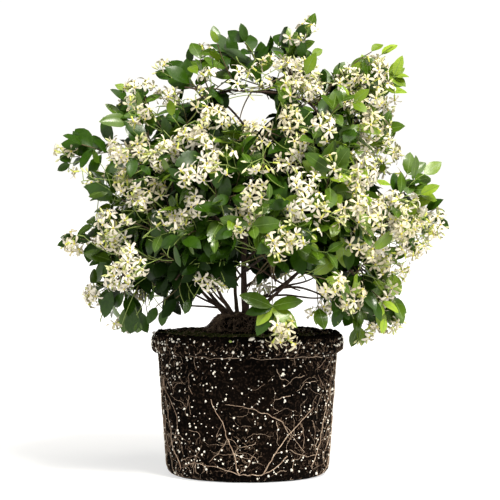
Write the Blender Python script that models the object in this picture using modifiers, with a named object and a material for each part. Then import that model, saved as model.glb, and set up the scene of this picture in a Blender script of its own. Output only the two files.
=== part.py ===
# Flowering star jasmine, a twining evergreen shrub, standing on its moulded root ball.
# Metres, +Z up. The origin is the centre of the flat underside of the root ball.
# Azimuth 0 is the front (-Y) and azimuth 90 the right-hand side (+X).

import math
import random

import bmesh
import bpy
from mathutils import Matrix, Vector
from mathutils.bvhtree import BVHTree

COLLECTION_NAME = "potted_star_jasmine"
GAP = 0.0003
FIRST_SEED = 11

# Root ball, which keeps the shape of the nursery pot that it grew in
BALL_HEIGHT = 0.206
FOOT_RADIUS = 0.1175
NECK_RADIUS = 0.1290
COLLAR_RADIUS = 0.1380
COLLAR_HEIGHT = 0.031
FOOT_ROUNDING = 0.014
LIP_ROUNDING = 0.010
TOP_DIP = 0.003
TOP_FLAT_RADIUS = 0.060
TOP_EDGE_RADIUS = 0.105
COLLAR_DRAFT = 0.0005
COLLAR_STEP = 0.006
BALL_STEPS = 32
ARC_STEPS = 3

# Peat mound on the root ball, with a level top that the stems rise from; its side, from the
# top's edge to its foot, as (share of the way out, share of the way down)
MOUND_CENTRE = Vector((-0.010, 0.0, 0.0))
MOUND_RADIUS = 0.052
MOUND_TOP_RADIUS = 0.027
MOUND_HEIGHT = 0.022
MOUND_SIDE = ((0.0, 0.0), (0.22, 0.16), (0.55, 0.62), (1.0, 0.96))
MOUND_SINK = 0.006
MOUND_STEPS = 18

# Crown: its centre, its reach towards the front and back, and its reach in the front view,
# as (angle from +X in degrees, reach)
CROWN_CENTRE = Vector((0.0, 0.0, 0.390))
CROWN_DEPTH = 0.265
CROWN_OUTLINE = (
    (0, 0.285), (23, 0.250), (42, 0.300), (56, 0.225), (70, 0.287), (84, 0.225),
    (98, 0.255), (110, 0.240), (135, 0.250), (150, 0.240), (164, 0.294), (180, 0.215),
    (191, 0.282), (202, 0.240), (211, 0.277), (224, 0.270), (245, 0.170), (270, 0.125),
    (295, 0.170), (315, 0.285), (325, 0.290), (337, 0.262), (353, 0.297), (360, 0.285),
)
# Angles of the outline where a shoot and its end leaf reach all the way out, and the same for the
# crown's front and back and for the hanging sprays, as (azimuth, elevation)
OUTLINE_TIPS = (0, 22, 42, 70, 98, 122, 140, 164, 191, 211, 224, 315, 327, 353)
DEPTH_TIPS = ((10, -14), (356, 3), (179, 3), (190, -12), (8, -43))
# Sprays that hang out of the rounded crown, as (azimuth, elevation, half angle, extra reach)
SPRAYS = ((8, -43, 17, 0.085),)
# Sky that shows through the crown from the front, as (x, z, half width, half height)
SKY_WINDOWS = (
    (0.008, 0.523, 0.031, 0.020),
    (-0.048, 0.240, 0.052, 0.027),
    (0.083, 0.256, 0.043, 0.040),
)

# Stems and boughs, as radii at the foot and at the tip
MAIN_STEM_TOP = Vector((0.010, 0.004, 0.475))
MAIN_STEM_FOOT = Vector((-0.002, 0.0, 0.0))
MAIN_STEM_RADII = (0.0050, 0.0025)
STEM_RADII = (0.0029, 0.0019)
BOUGH_RADII = (0.0027, 0.0019)
ARCH_RADII = (0.0021, 0.0015)
FLARE = 0.38
FLARE_LENGTH = 0.030
STEM_FOOT_RING = 0.0190
FOOT_SURPLUS = 0.008
# How limbs leave and arrive, as rise for each unit outwards, and how far they keep those ways
MAIN_STEM_LEAN = (Vector((-0.10, -0.03, 1.0)), Vector((0.12, 0.05, 1.0)))
STEM_RISE = (0.80, 1.2)
LOW_BOUGH_RISE = (0.35, 0.9)
HIGH_BOUGH_RISE = (0.6, 1.7)
LEAVE_PULL = 0.40
ARRIVE_PULL = 0.35
LOW_LIMB_ELEVATION = -28
HIGH_LIMB_ELEVATION = 24
LIMB_POINTS = 7
LOW_TIP_FRACTION = 0.50
HIGH_TIP_FRACTION = 0.44
LOW_TURN = 12
HIGH_TURN = 10
SECTOR_ANGLE = 45.0
SECTORS = ("front", "front_right", "right", "back_right", "back", "back_left", "left", "front_left")
# Sectors whose lower limb is a bough of the main stem, with the height where it leaves
LOW_BOUGHS = {"front": 0.285, "right": 0.241, "back_right": 0.263}
HIGH_BOUGHS = {"front": 0.352, "right": 0.372, "back": 0.392, "left": 0.334}
# How far along its limb each mass's own stem leaves
MIDDLE_LEAVES_AT = 0.66
HIGH_SIDE_LEAVES_AT = 0.50
BEND_LEAVES_AT = 0.72
TOP_CARRIERS = {
    "front_right": ("arch", 0.30),
    "back_right": ("main_stem", 0.93),
    "back_left": ("main_stem", 1.0),
    "front_left": ("arch", 1.0),
    "top": ("arch", 0.62),
}
ARCH_BEND = Vector((0.104, -0.030, 0.506))
ARCH_TIP = Vector((-0.024, -0.040, 0.551))
ARCH_LEAN = (Vector((-0.25, -0.10, 1.0)), Vector((-1.0, -0.05, 0.15)))

# Foliage masses by tier: elevation from the crown's centre, first azimuth, masses, leaves in each
TIERS = (
    ("low", -30, LOW_TURN, 8, 13),
    ("middle", 1, 33, 8, 14),
    ("high", 30, HIGH_TURN, 8, 14),
    ("upper", 58, 30, 4, 13),
    ("top", 85, 20, 1, 12),
)
SITE_RADIUS = 0.180
HUB_FRACTION = 0.60
STEM_END_FRACTION = 0.80
MASS_STEM_RADII = (0.0020, 0.0014)
MASS_STEM_POINTS = 5
STEM_TURN_IN = 1.6
STEM_TURN_OUT = 0.8
SHOOTS = 6
SHOOT_TRIES = 6
SHOOT_START = (0.30, 0.80)
SHOOT_SHORTEST = 0.020
SHOOT_SPREAD = 25
SHOOT_SHORTFALL = (0.020, 0.058)
SHOOT_RADII = (0.0012, 0.0009)
TIP_SHORTFALL = 0.071
GOLDEN_ANGLE = 137.5
CELL_MARGIN = 0.0004
LIMB_MARGIN = 0.0010
REACH_SLACK = 1.02
OUTER_SHARE = 0.85

# Leaves, larger than life so that the crown reads as full. They stand in pairs at these shares
# of the way along a shoot, opening from it by these angles, and one more ends it
LEAF_LENGTH = 0.072
LEAF_WIDTH = 0.038
LEAF_THICKNESS = 0.0018
LEAF_SINK = 0.0005
LEAF_FOLD = 0.16
LEAF_WIDEST = -0.18
LEAF_SHARES = (0.88, 0.48, 0.68, 0.28)
LEAF_OPENING = (48, 78)
LEAF_SIZES = (0.84, 1.12)
LEAF_DROOP = 0.12
LEAF_FACES_UP = 0.45
LEAF_TILT = 0.3
LEAF_ROLL = 0.4
END_LEAF_OPENING = 0.8
# How much smaller the last tries are, in a crowded place and at the outline's tips
CROWDED_SHRINK = 0.3
TIP_SHRINK = 0.1
LEAF_TRIES = 8

# Blossoms, each of which stands for a cluster of smaller ones
BLOSSOM_WIDTH = 0.037
BLOSSOM_DEPTH = 0.013
BLOSSOM_SINK = 0.0020
BLOSSOM_INNER = 0.46
BLOSSOMS_A_MASS = 3
BLOSSOM_TRIES = 9
BLOSSOM_WANDER = 0.16
BLOSSOM_LEAN = 0.5
BLOSSOM_SIZES = (0.90, 1.08)

# Colours, each with its roughness
LEAF_GREEN = ((0.045, 0.130, 0.030), 0.40)
PETAL_CREAM = ((0.860, 0.840, 0.700), 0.60)
BARK_BROWN = ((0.090, 0.050, 0.032), 0.85)
PEAT_BROWN = ((0.052, 0.034, 0.022), 0.95)


def clear_scene():
    for item in list(bpy.data.objects):
        bpy.data.objects.remove(item)


def make_collection(name):
    collection = bpy.data.collections.new(name)
    bpy.context.scene.collection.children.link(collection)
    return collection


def make_material(name, colour, roughness):
    material = bpy.data.materials.new(name)
    material.use_nodes = True
    shader = material.node_tree.nodes["Principled BSDF"]
    shader.inputs["Base Color"].default_value = (*colour, 1.0)
    shader.inputs["Roughness"].default_value = roughness
    shader.inputs["Metallic"].default_value = 0.0
    material.diffuse_color = (*colour, 1.0)
    return material


def add_object(name, mesh, collection):
    item = bpy.data.objects.new(name, mesh)
    collection.objects.link(item)
    return item


def evaluated_mesh(item):
    bpy.context.view_layer.update()
    graph = bpy.context.evaluated_depsgraph_get()
    return bpy.data.meshes.new_from_object(item.evaluated_get(graph))


def remove_collection(collection):
    for item in list(collection.objects):
        bpy.data.objects.remove(item)
    bpy.data.collections.remove(collection)


def apply_modifiers(item):
    mesh = evaluated_mesh(item)
    item.modifiers.clear()
    item.data = mesh


# A turned solid: the profile runs down its outer side, from the axis to the axis
def turned(name, profile, steps, collection):
    mesh = bpy.data.meshes.new(name)
    edges = [(number, number + 1) for number in range(len(profile) - 1)]
    mesh.from_pydata([(radius, 0.0, height) for radius, height in profile], edges, [])
    item = add_object(name, mesh, collection)
    screw = item.modifiers.new("Screw", "SCREW")
    screw.steps = steps
    screw.render_steps = steps
    screw.use_merge_vertices = True
    screw.merge_threshold = 0.00005
    screw.use_smooth_shade = True
    return item


def arc(centre_radius, centre_height, rounding, first, last):
    points = []
    for step in range(ARC_STEPS + 1):
        angle = math.radians(first + (last - first) * step / ARC_STEPS)
        points.append((centre_radius + rounding * math.cos(angle),
                       centre_height + rounding * math.sin(angle)))
    return points


def build_root_ball(collection):
    collar_foot = BALL_HEIGHT - COLLAR_HEIGHT
    profile = [(0.0, BALL_HEIGHT), (TOP_FLAT_RADIUS, BALL_HEIGHT), (TOP_EDGE_RADIUS, BALL_HEIGHT - TOP_DIP)]
    profile += arc(COLLAR_RADIUS - LIP_ROUNDING, BALL_HEIGHT - LIP_ROUNDING, LIP_ROUNDING, 90, 0)
    profile += [(COLLAR_RADIUS - COLLAR_DRAFT, collar_foot + COLLAR_STEP),
                (NECK_RADIUS + COLLAR_DRAFT, collar_foot)]
    profile += arc(FOOT_RADIUS - FOOT_ROUNDING, FOOT_ROUNDING, FOOT_ROUNDING, 0, -90)
    profile += [(0.0, 0.0)]
    ball = turned("root_ball", profile, BALL_STEPS, collection)
    apply_modifiers(ball)

    ground = BALL_HEIGHT + MOUND_HEIGHT
    mound_profile = [(0.0, ground)]
    for out, down in MOUND_SIDE:
        radius = MOUND_TOP_RADIUS + (MOUND_RADIUS - MOUND_TOP_RADIUS) * out
        mound_profile.append((radius, ground - MOUND_HEIGHT * down))
    mound_profile += [(MOUND_RADIUS, BALL_HEIGHT - MOUND_SINK), (0.0, BALL_HEIGHT - MOUND_SINK)]
    mound = turned("mound", mound_profile, MOUND_STEPS, collection)
    mound.location = MOUND_CENTRE
    join = ball.modifiers.new("Mound", "BOOLEAN")
    join.operation = "UNION"
    join.object = mound
    apply_modifiers(ball)
    bpy.data.objects.remove(mound)
    ball.data.materials.clear()
    ball.data.materials.append(make_material("root_ball_peat", *PEAT_BROWN))
    return ball


# The point of a cubic curve with four control points
def curve_point(controls, t):
    a, b, c, d = controls
    s = 1.0 - t
    return a * s ** 3 + b * (3 * s * s * t) + c * (3 * s * t * t) + d * t ** 3


# A limb is a tapering tube along a curve that leaves one way and arrives another
class Limb:
    def __init__(self, name, start, start_way, end, end_way, radii, parent=None, flare=0.0,
                 count=LIMB_POINTS):
        span = (end - start).length
        controls = (start, start + start_way.normalized() * span * LEAVE_PULL,
                    end - end_way.normalized() * span * ARRIVE_PULL, end)
        self.name = name
        self.points = [curve_point(controls, number / (count - 1)) for number in range(count)]
        self.radii = radii
        self.parent = parent
        self.flare = flare
        self.length = span

    def at(self, t):
        place = t * (len(self.points) - 1)
        number = min(int(place), len(self.points) - 2)
        return self.points[number].lerp(self.points[number + 1], place - number)

    def way(self, t):
        number = min(int(t * (len(self.points) - 1)), len(self.points) - 2)
        return (self.points[number + 1] - self.points[number]).normalized()

    def radius(self, t):
        taper = self.radii[0] + (self.radii[1] - self.radii[0]) * t
        return taper * (1.0 + self.flare * math.exp(-t * self.length / FLARE_LENGTH))


# A tapering tube as one closed mesh, its caps welded; grow adds to its radius and its ends
def tube(name, limb, resolution, collection, grow=0.0):
    curve = bpy.data.curves.new(name, "CURVE")
    curve.dimensions = "3D"
    curve.bevel_depth = 1.0
    curve.bevel_resolution = resolution
    curve.use_fill_caps = True
    spline = curve.splines.new("POLY")
    last = len(limb.points) - 1
    spline.points.add(last)
    for number, point in enumerate(spline.points):
        place = limb.points[number]
        if number == 0:
            place = place - limb.way(0.0) * (grow + (0.0 if limb.parent else FOOT_SURPLUS))
        if number == last:
            place = place + limb.way(1.0) * grow
        point.co = (*place, 1.0)
        point.radius = limb.radius(number / last) + grow
    item = bpy.data.objects.new(name, curve)
    collection.objects.link(item)
    mesh = evaluated_mesh(item)
    bpy.data.objects.remove(item)
    shell = bmesh.new()
    shell.from_mesh(mesh)
    bmesh.ops.remove_doubles(shell, verts=shell.verts, dist=0.000001)
    bmesh.ops.recalc_face_normals(shell, faces=shell.faces)
    shell.to_mesh(mesh)
    shell.free()
    return add_object(name, mesh, collection)


def azimuth_way(azimuth, elevation):
    around = math.radians(azimuth)
    up = math.radians(elevation)
    return Vector((math.sin(around) * math.cos(up), -math.cos(around) * math.cos(up), math.sin(up)))


def outline_reach(angle):
    for first, last in zip(CROWN_OUTLINE, CROWN_OUTLINE[1:]):
        if first[0] <= angle <= last[0]:
            share = (angle - first[0]) / (last[0] - first[0])
            return first[1] + (last[1] - first[1]) * share
    return CROWN_OUTLINE[0][1]


# How much further the hanging sprays carry the crown's reach in a way
def spray_reach(way):
    extra = 0.0
    for azimuth, elevation, half_angle, reach in SPRAYS:
        away = math.degrees(way.angle(azimuth_way(azimuth, elevation)))
        extra += reach * math.exp(-(away / half_angle) ** 2)
    return extra


# The crown's reach from its centre: its front outline, rounded off to its depth, and its sprays
def crown_reach(way):
    side = math.hypot(way.x, way.z)
    around = math.degrees(math.atan2(way.z, way.x)) % 360.0
    return 1.0 / math.hypot(side / outline_reach(around), way.y / CROWN_DEPTH) + spray_reach(way)


def crown_place(way, fraction):
    return CROWN_CENTRE + way * (crown_reach(way) * fraction)


def in_sky_window(point):
    for x, z, half_width, half_height in SKY_WINDOWS:
        if ((point.x - x) / half_width) ** 2 + ((point.z - z) / half_height) ** 2 < 1.0:
            return True
    return False


# The main stem, five stems from the mound, three low boughs, four high boughs and the arch
def plan_limbs():
    ground = BALL_HEIGHT + MOUND_HEIGHT + GAP
    foot = MAIN_STEM_FOOT.copy()
    foot.z = ground
    up = Vector((0.0, 0.0, 1.0))
    main = Limb("main_stem", foot, MAIN_STEM_LEAN[0], MAIN_STEM_TOP, MAIN_STEM_LEAN[1], MAIN_STEM_RADII,
                flare=FLARE)
    limbs = {"main_stem": main}

    def along_main(height):
        return (height - ground) / (MAIN_STEM_TOP.z - ground)

    for number, sector in enumerate(SECTORS):
        azimuth = LOW_TURN + number * SECTOR_ANGLE
        outward = azimuth_way(azimuth, 0.0)
        end = crown_place(azimuth_way(azimuth, LOW_LIMB_ELEVATION), LOW_TIP_FRACTION)
        if sector in LOW_BOUGHS:
            start = main.at(along_main(LOW_BOUGHS[sector]))
            limb = Limb("bough_low_" + sector, start, outward + up * LOW_BOUGH_RISE[0], end,
                        outward + up * LOW_BOUGH_RISE[1], BOUGH_RADII, parent=main)
        else:
            start = MOUND_CENTRE + outward * STEM_FOOT_RING
            start.z = ground
            limb = Limb("stem_" + sector, start, outward + up * STEM_RISE[0], end,
                        outward + up * STEM_RISE[1], STEM_RADII, flare=FLARE)
        limbs["low_" + sector] = limb

    for sector, height in HIGH_BOUGHS.items():
        azimuth = HIGH_TURN + SECTORS.index(sector) * SECTOR_ANGLE
        outward = azimuth_way(azimuth, 0.0)
        start = main.at(along_main(height))
        end = crown_place(azimuth_way(azimuth, HIGH_LIMB_ELEVATION), HIGH_TIP_FRACTION)
        if sector == "right":
            end = ARCH_BEND
        limbs["high_" + sector] = Limb("bough_high_" + sector, start, outward + up * HIGH_BOUGH_RISE[0],
                                       end, outward + up * HIGH_BOUGH_RISE[1], BOUGH_RADII, parent=main)

    bend = limbs["high_right"]
    limbs["arch"] = Limb("arch_branch", bend.at(1.0), ARCH_LEAN[0], ARCH_TIP, ARCH_LEAN[1], ARCH_RADII,
                         parent=bend)
    return limbs


# One mass of foliage: the way it lies from the crown's centre, the limb that carries it and how
# its own stem runs. Its space is the part of the crown that is nearer to its way than to others
class Mass:
    def __init__(self, name, way, leaves, parent, t):
        self.name = name
        self.way = way
        self.leaves = leaves
        self.site = CROWN_CENTRE + way * SITE_RADIUS
        start = parent.at(t)
        hub_way = (crown_place(way, HUB_FRACTION) - start).normalized()
        leave = parent.way(t) + hub_way * STEM_TURN_IN
        end = crown_place(way, STEM_END_FRACTION)
        self.stem = Limb(name, start, leave, end, hub_way + way * STEM_TURN_OUT, MASS_STEM_RADII,
                         parent=parent, count=MASS_STEM_POINTS)
        self.cell = []

    def holds(self, point):
        return all(point.dot(across) <= limit for across, limit in self.cell)


# The limb that carries a mass, and how far along that limb it leaves
def carrier(tier, number, limbs):
    if tier == "low":
        return limbs["low_" + SECTORS[number]], 1.0
    if tier == "middle":
        return limbs["low_" + SECTORS[number - 1]], MIDDLE_LEAVES_AT
    if tier == "high" and number % 2:
        return limbs["high_" + SECTORS[number - 1]], HIGH_SIDE_LEAVES_AT
    if tier == "high":
        return limbs["high_" + SECTORS[number]], BEND_LEAVES_AT if SECTORS[number] == "right" else 1.0
    limb, t = TOP_CARRIERS[tier if tier == "top" else SECTORS[number]]
    return limbs[limb], t


def plan_masses(limbs):
    masses = []
    for tier, elevation, first_azimuth, count, leaves in TIERS:
        for number in range(count):
            azimuth = first_azimuth + 360.0 * number / count
            sector = round(azimuth / SECTOR_ANGLE) % len(SECTORS)
            name = "foliage_" + tier
            if count > 1:
                name += "_" + SECTORS[sector]
            parent, t = carrier(tier, sector, limbs)
            masses.append(Mass(name, azimuth_way(azimuth, elevation), leaves, parent, t))
    for mass in masses:
        for other in masses:
            if other is not mass:
                across = (other.site - mass.site).normalized()
                middle = (other.site + mass.site) / 2.0
                mass.cell.append((across, middle.dot(across) - CELL_MARGIN))
    return masses


# A leaf of eight faces, pointed at both ends and folded along its midrib, root at -Z
def leaf_mesh():
    shell = bmesh.new()
    bmesh.ops.create_uvsphere(shell, u_segments=4, v_segments=2, radius=1.0)
    for corner in shell.verts:
        if abs(corner.co.z) < 0.5:
            corner.co.z = LEAF_WIDEST
            if abs(corner.co.x) > 0.5:
                corner.co.y = LEAF_FOLD * LEAF_WIDTH / LEAF_THICKNESS
    mesh = bpy.data.meshes.new("leaf")
    shell.to_mesh(mesh)
    shell.free()
    return mesh


# A five-pointed star that tapers back to the tip of its tube, facing +Z
def blossom_mesh():
    shell = bmesh.new()
    bmesh.ops.create_cone(shell, cap_ends=True, cap_tris=False, segments=10, radius1=0.0,
                          radius2=1.0, depth=1.0)
    bmesh.ops.remove_doubles(shell, verts=shell.verts, dist=0.0001)
    rim = [corner for corner in shell.verts if corner.co.z > 0.0]
    rim.sort(key=lambda corner: math.atan2(corner.co.y, corner.co.x))
    for number, corner in enumerate(rim):
        if number % 2:
            corner.co.x *= BLOSSOM_INNER
            corner.co.y *= BLOSSOM_INNER
    mesh = bpy.data.meshes.new("blossom")
    shell.to_mesh(mesh)
    shell.free()
    return mesh


def shoot_mesh():
    shell = bmesh.new()
    bmesh.ops.create_cone(shell, cap_ends=True, cap_tris=True, segments=3, radius1=1.0,
                          radius2=SHOOT_RADII[1] / SHOOT_RADII[0], depth=1.0)
    mesh = bpy.data.meshes.new("shoot")
    shell.to_mesh(mesh)
    shell.free()
    return mesh


# A matrix whose Z axis is the given way and whose Y axis leans to the given side
def placed(origin, way, side, scale):
    z_axis = way.normalized()
    y_axis = (side - z_axis * side.dot(z_axis)).normalized()
    x_axis = y_axis.cross(z_axis)
    turn = Matrix((x_axis * scale[0], y_axis * scale[1], z_axis * scale[2])).transposed().to_4x4()
    return Matrix.Translation(origin) @ turn


def tangent_side(way, roll):
    flat = way.cross(Vector((0.0, 0.0, 1.0)))
    if flat.length < 0.1:
        flat = Vector((1.0, 0.0, 0.0))
    return Matrix.Rotation(roll, 3, way) @ flat.normalized()


# The ways that a mass's shoots head: a golden-angle spiral, with the crown's tips taking the
# places of the nearest ones
def shoot_ways(mass):
    ways = []
    for number in range(SHOOTS):
        tilt = math.radians(SHOOT_SPREAD) * math.sqrt((number + 0.5) / SHOOTS)
        side = tangent_side(mass.way, math.radians(GOLDEN_ANGLE * number))
        ways.append(((mass.way + side * math.tan(tilt)).normalized(), False))
    for azimuth, elevation in [(90, angle) for angle in OUTLINE_TIPS] + list(DEPTH_TIPS):
        tip_way = azimuth_way(azimuth, elevation)
        if mass.holds(crown_place(tip_way, OUTER_SHARE)):
            nearest = max((way for way in ways if not way[1]), key=lambda way: way[0].dot(tip_way))
            ways.remove(nearest)
            ways.insert(0, (tip_way, True))
    return ways


# A bit of foliage: where it stands, and its faces for testing what it touches
class Bit:
    def __init__(self, mesh, matrix):
        self.matrix = matrix
        self.corners = [matrix @ corner.co for corner in mesh.vertices]
        self.tree = BVHTree.FromPolygons(self.corners, [tuple(face.vertices) for face in mesh.polygons])

    def is_clear(self, others):
        return not any(self.tree.overlap(other.tree) for other in others)


# What a bit must keep to: its mass's own space, the crown's reach, the open sky and the limbs
def fits(bit, mass, obstacles):
    middle = sum(bit.corners, Vector()) / len(bit.corners)
    for corner in bit.corners:
        if not mass.holds(corner):
            return False
        spoke = corner - CROWN_CENTRE
        if spoke.length > crown_reach(spoke.normalized()) * REACH_SLACK:
            return False
        if in_sky_window(corner) or in_sky_window((corner + middle) / 2.0):
            return False
    return not in_sky_window(middle) and not bit.tree.overlap(obstacles)


# Shoots leave the mass's stem and end near the crown's surface
def grow_shoots(mass, mesh, obstacles, chance):
    shoots = []
    for aim, is_tip in shoot_ways(mass):
        for attempt in range(SHOOT_TRIES):
            way = aim.lerp(mass.way, attempt / (SHOOT_TRIES + 2)).normalized()
            shortfall = TIP_SHORTFALL if is_tip else chance.uniform(*SHOOT_SHORTFALL)
            end = CROWN_CENTRE + way * (crown_reach(way) - shortfall)
            start = mass.stem.at(chance.uniform(*SHOOT_START))
            along = (end - start).normalized()
            length = (end - start).length
            scale = (SHOOT_RADII[0], SHOOT_RADII[0], length)
            side = tangent_side(along, chance.uniform(0.0, math.tau))
            shoot = Bit(mesh, placed((start + end) / 2.0, along, side, scale))
            if length > SHOOT_SHORTEST and fits(shoot, mass, obstacles):
                shoot.start = start
                shoot.end = end
                shoot.along = along
                shoot.is_tip = is_tip
                shoots.append(shoot)
                break
    return shoots


# Blossoms face outwards from the tips of the shoots
def grow_blossoms(mass, shoots, mesh, obstacles, chance):
    blossoms = []
    for shoot in shoots:
        if shoot.is_tip or len(blossoms) == BLOSSOMS_A_MASS:
            continue
        outward = (shoot.end - CROWN_CENTRE).normalized() + shoot.along * BLOSSOM_LEAN
        for attempt in range(BLOSSOM_TRIES):
            wander = Vector([chance.uniform(-1.0, 1.0) for axis in range(3)])
            face = (outward + wander * BLOSSOM_WANDER * (attempt + 1)).normalized()
            half = BLOSSOM_WIDTH / 2.0 * chance.uniform(*BLOSSOM_SIZES)
            origin = shoot.end + face * (BLOSSOM_DEPTH / 2.0 - BLOSSOM_SINK)
            side = tangent_side(face, chance.uniform(0.0, math.tau))
            blossom = Bit(mesh, placed(origin, face, side, (half, half, BLOSSOM_DEPTH)))
            if fits(blossom, mass, obstacles) and blossom.is_clear(blossoms):
                blossoms.append(blossom)
                break
    return blossoms


# Where leaves may stand: one at each shoot's end, then opposite pairs a quarter turn apart
def leaf_spots(shoots):
    spots = [(shoot, 1.0, 0.0, 0) for shoot in shoots]
    for pair, share in enumerate(LEAF_SHARES):
        for shoot in shoots:
            spots.append((shoot, share, 0.0, pair))
            spots.append((shoot, share, math.pi, pair))
    return spots


def grow_leaves(mass, shoots, blossoms, mesh, obstacles, chance):
    leaves = []
    for shoot, share, half_turn, pair in leaf_spots(shoots):
        if len(leaves) == mass.leaves:
            break
        node = shoot.start.lerp(shoot.end, share)
        quarter = math.pi / 2.0 * pair + half_turn + shoots.index(shoot)
        face = (node - CROWN_CENTRE).normalized() + Vector((0.0, 0.0, LEAF_FACES_UP))
        others = [other for other in shoots if other is not shoot] + blossoms + leaves
        for attempt in range(LEAF_TRIES):
            loose = attempt / LEAF_TRIES
            side = tangent_side(shoot.along, quarter + chance.uniform(-1.0, 1.0) * (LEAF_ROLL + loose))
            opening = math.radians(chance.uniform(*LEAF_OPENING))
            droop = LEAF_DROOP
            if share == 1.0:
                opening = loose * chance.uniform(0.0, END_LEAF_OPENING)
                droop = 0.0
            way = shoot.along * math.cos(opening) + side * math.sin(opening) - Vector((0.0, 0.0, droop))
            size = chance.uniform(*LEAF_SIZES) * (1.0 - CROWDED_SHRINK * loose)
            if shoot.is_tip and share == 1.0:
                way = node - CROWN_CENTRE
                size = 1.0 - TIP_SHRINK * loose
            length = LEAF_LENGTH * size
            scale = (LEAF_WIDTH * size / 2.0, LEAF_THICKNESS / 2.0, length / 2.0)
            origin = node + way.normalized() * (length / 2.0 - LEAF_SINK)
            leaf = Bit(mesh, placed(origin, way, face + side * chance.uniform(-LEAF_TILT, LEAF_TILT), scale))
            if fits(leaf, mass, obstacles) and leaf.is_clear(others):
                leaves.append(leaf)
                break
    return leaves


def join_trees(items):
    corners = []
    faces = []
    for item in items:
        first = len(corners)
        corners += [corner.co.copy() for corner in item.data.vertices]
        faces += [tuple(index + first for index in face.vertices) for face in item.data.polygons]
    return BVHTree.FromPolygons(corners, faces)


# A limb that leaves another is cut to the parent's surface, a hair clear of it;
# one that stands on the mound is cut level there
def finish_foot(item, limb, grown):
    if limb.parent:
        cut = item.modifiers.new("Saddle", "BOOLEAN")
        cut.operation = "DIFFERENCE"
        cut.object = grown[limb.parent.name]
        apply_modifiers(item)
        return
    shell = bmesh.new()
    shell.from_mesh(item.data)
    cut = bmesh.ops.bisect_plane(shell, geom=shell.verts[:] + shell.edges[:] + shell.faces[:],
                                 plane_co=limb.points[0], plane_no=(0.0, 0.0, 1.0), clear_inner=True)
    rim = [part for part in cut["geom_cut"] if isinstance(part, bmesh.types.BMEdge)]
    bmesh.ops.holes_fill(shell, edges=rim)
    bmesh.ops.recalc_face_normals(shell, faces=shell.faces)
    shell.to_mesh(item.data)
    shell.free()


# All the bits of a mass, joined to its stem by one union
def join_foliage(item, kinds):
    bits = make_collection("bits_" + item.name)
    for mesh, kind_bits, material in kinds:
        kind_mesh = mesh.copy()
        kind_mesh.materials.append(material)
        for bit in kind_bits:
            add_object("bit", kind_mesh, bits).matrix_world = bit.matrix
    union = item.modifiers.new("Foliage", "BOOLEAN")
    union.operation = "UNION"
    union.operand_type = "COLLECTION"
    union.collection = bits
    union.material_mode = "TRANSFER"
    apply_modifiers(item)
    remove_collection(bits)


def build_limb(limb, grown, collection):
    item = tube(limb.name, limb, 1, collection)
    item.data.materials.append(make_material(limb.name + "_bark", *BARK_BROWN))
    finish_foot(item, limb, grown)
    item.data.shade_smooth()


def build_mass(mass, meshes, grown, obstacles, seed, collection):
    chance = random.Random(seed)
    green = make_material(mass.name + "_leaf", *LEAF_GREEN)
    cream = make_material(mass.name + "_petal", *PETAL_CREAM)
    item = tube(mass.name, mass.stem, 0, collection)
    item.data.materials.append(green)
    item.data.materials.append(cream)
    finish_foot(item, mass.stem, grown)
    shoots = grow_shoots(mass, meshes["shoot"], obstacles, chance)
    blossoms = grow_blossoms(mass, shoots, meshes["blossom"], obstacles, chance)
    leaves = grow_leaves(mass, shoots, blossoms, meshes["leaf"], obstacles, chance)
    join_foliage(item, ((meshes["shoot"], shoots, green), (meshes["blossom"], blossoms, cream),
                        (meshes["leaf"], leaves, green)))
    print(mass.name, len(shoots), "shoots", len(blossoms), "blossoms", len(leaves), "leaves")


def build():
    clear_scene()
    model = make_collection(COLLECTION_NAME)
    guides = make_collection("cutters")
    ball = build_root_ball(model)
    limbs = plan_limbs()
    masses = plan_masses(limbs)
    meshes = {"leaf": leaf_mesh(), "blossom": blossom_mesh(), "shoot": shoot_mesh()}

    grown = {}
    thick = {}
    for limb in limbs.values():
        grown[limb.name] = tube("grown_" + limb.name, limb, 1, guides, grow=GAP)
        thick[limb.name] = tube("thick_" + limb.name, limb, 1, guides, grow=LIMB_MARGIN)
    for mass in masses:
        thick[mass.name] = tube("thick_" + mass.name, mass.stem, 0, guides, grow=LIMB_MARGIN)

    for limb in limbs.values():
        build_limb(limb, grown, model)
    for number, mass in enumerate(masses):
        others = [item for name, item in thick.items() if name != mass.name]
        build_mass(mass, meshes, grown, join_trees([ball] + others), FIRST_SEED + number, model)
    remove_collection(guides)


build()
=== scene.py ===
# Flowering star jasmine on its moulded root ball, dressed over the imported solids.
# Metres, +Z up. The front is -Y: azimuth 0 is the front and azimuth 90 the right-hand side.

import itertools
import math
import bpy
import numpy as np
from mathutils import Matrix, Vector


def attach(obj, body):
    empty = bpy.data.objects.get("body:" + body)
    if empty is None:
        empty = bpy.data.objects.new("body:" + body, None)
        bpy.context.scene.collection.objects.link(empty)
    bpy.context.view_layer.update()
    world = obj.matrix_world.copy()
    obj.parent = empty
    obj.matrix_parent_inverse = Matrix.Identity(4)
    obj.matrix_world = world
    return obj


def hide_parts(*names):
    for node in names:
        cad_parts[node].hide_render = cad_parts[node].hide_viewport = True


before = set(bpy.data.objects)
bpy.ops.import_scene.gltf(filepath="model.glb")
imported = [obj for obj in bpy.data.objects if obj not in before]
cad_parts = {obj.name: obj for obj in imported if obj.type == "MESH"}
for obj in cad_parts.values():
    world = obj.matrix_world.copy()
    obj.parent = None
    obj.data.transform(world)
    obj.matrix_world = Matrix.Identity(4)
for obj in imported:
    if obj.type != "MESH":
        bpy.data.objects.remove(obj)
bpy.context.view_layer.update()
nodeNames = list(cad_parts)
print("frame loaded:", len(nodeNames), "solids")

tau = math.tau
chance = np.random.default_rng(7)


# Vectors and noise, all on whole arrays

def unit(ways):
    return ways / np.maximum(np.linalg.norm(ways, axis=-1, keepdims=True), 1e-9)


# The part of a helper way that is square to each way
def squareTo(ways, helper):
    return unit(helper - ways * np.sum(ways * helper, axis=-1, keepdims=True))


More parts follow.
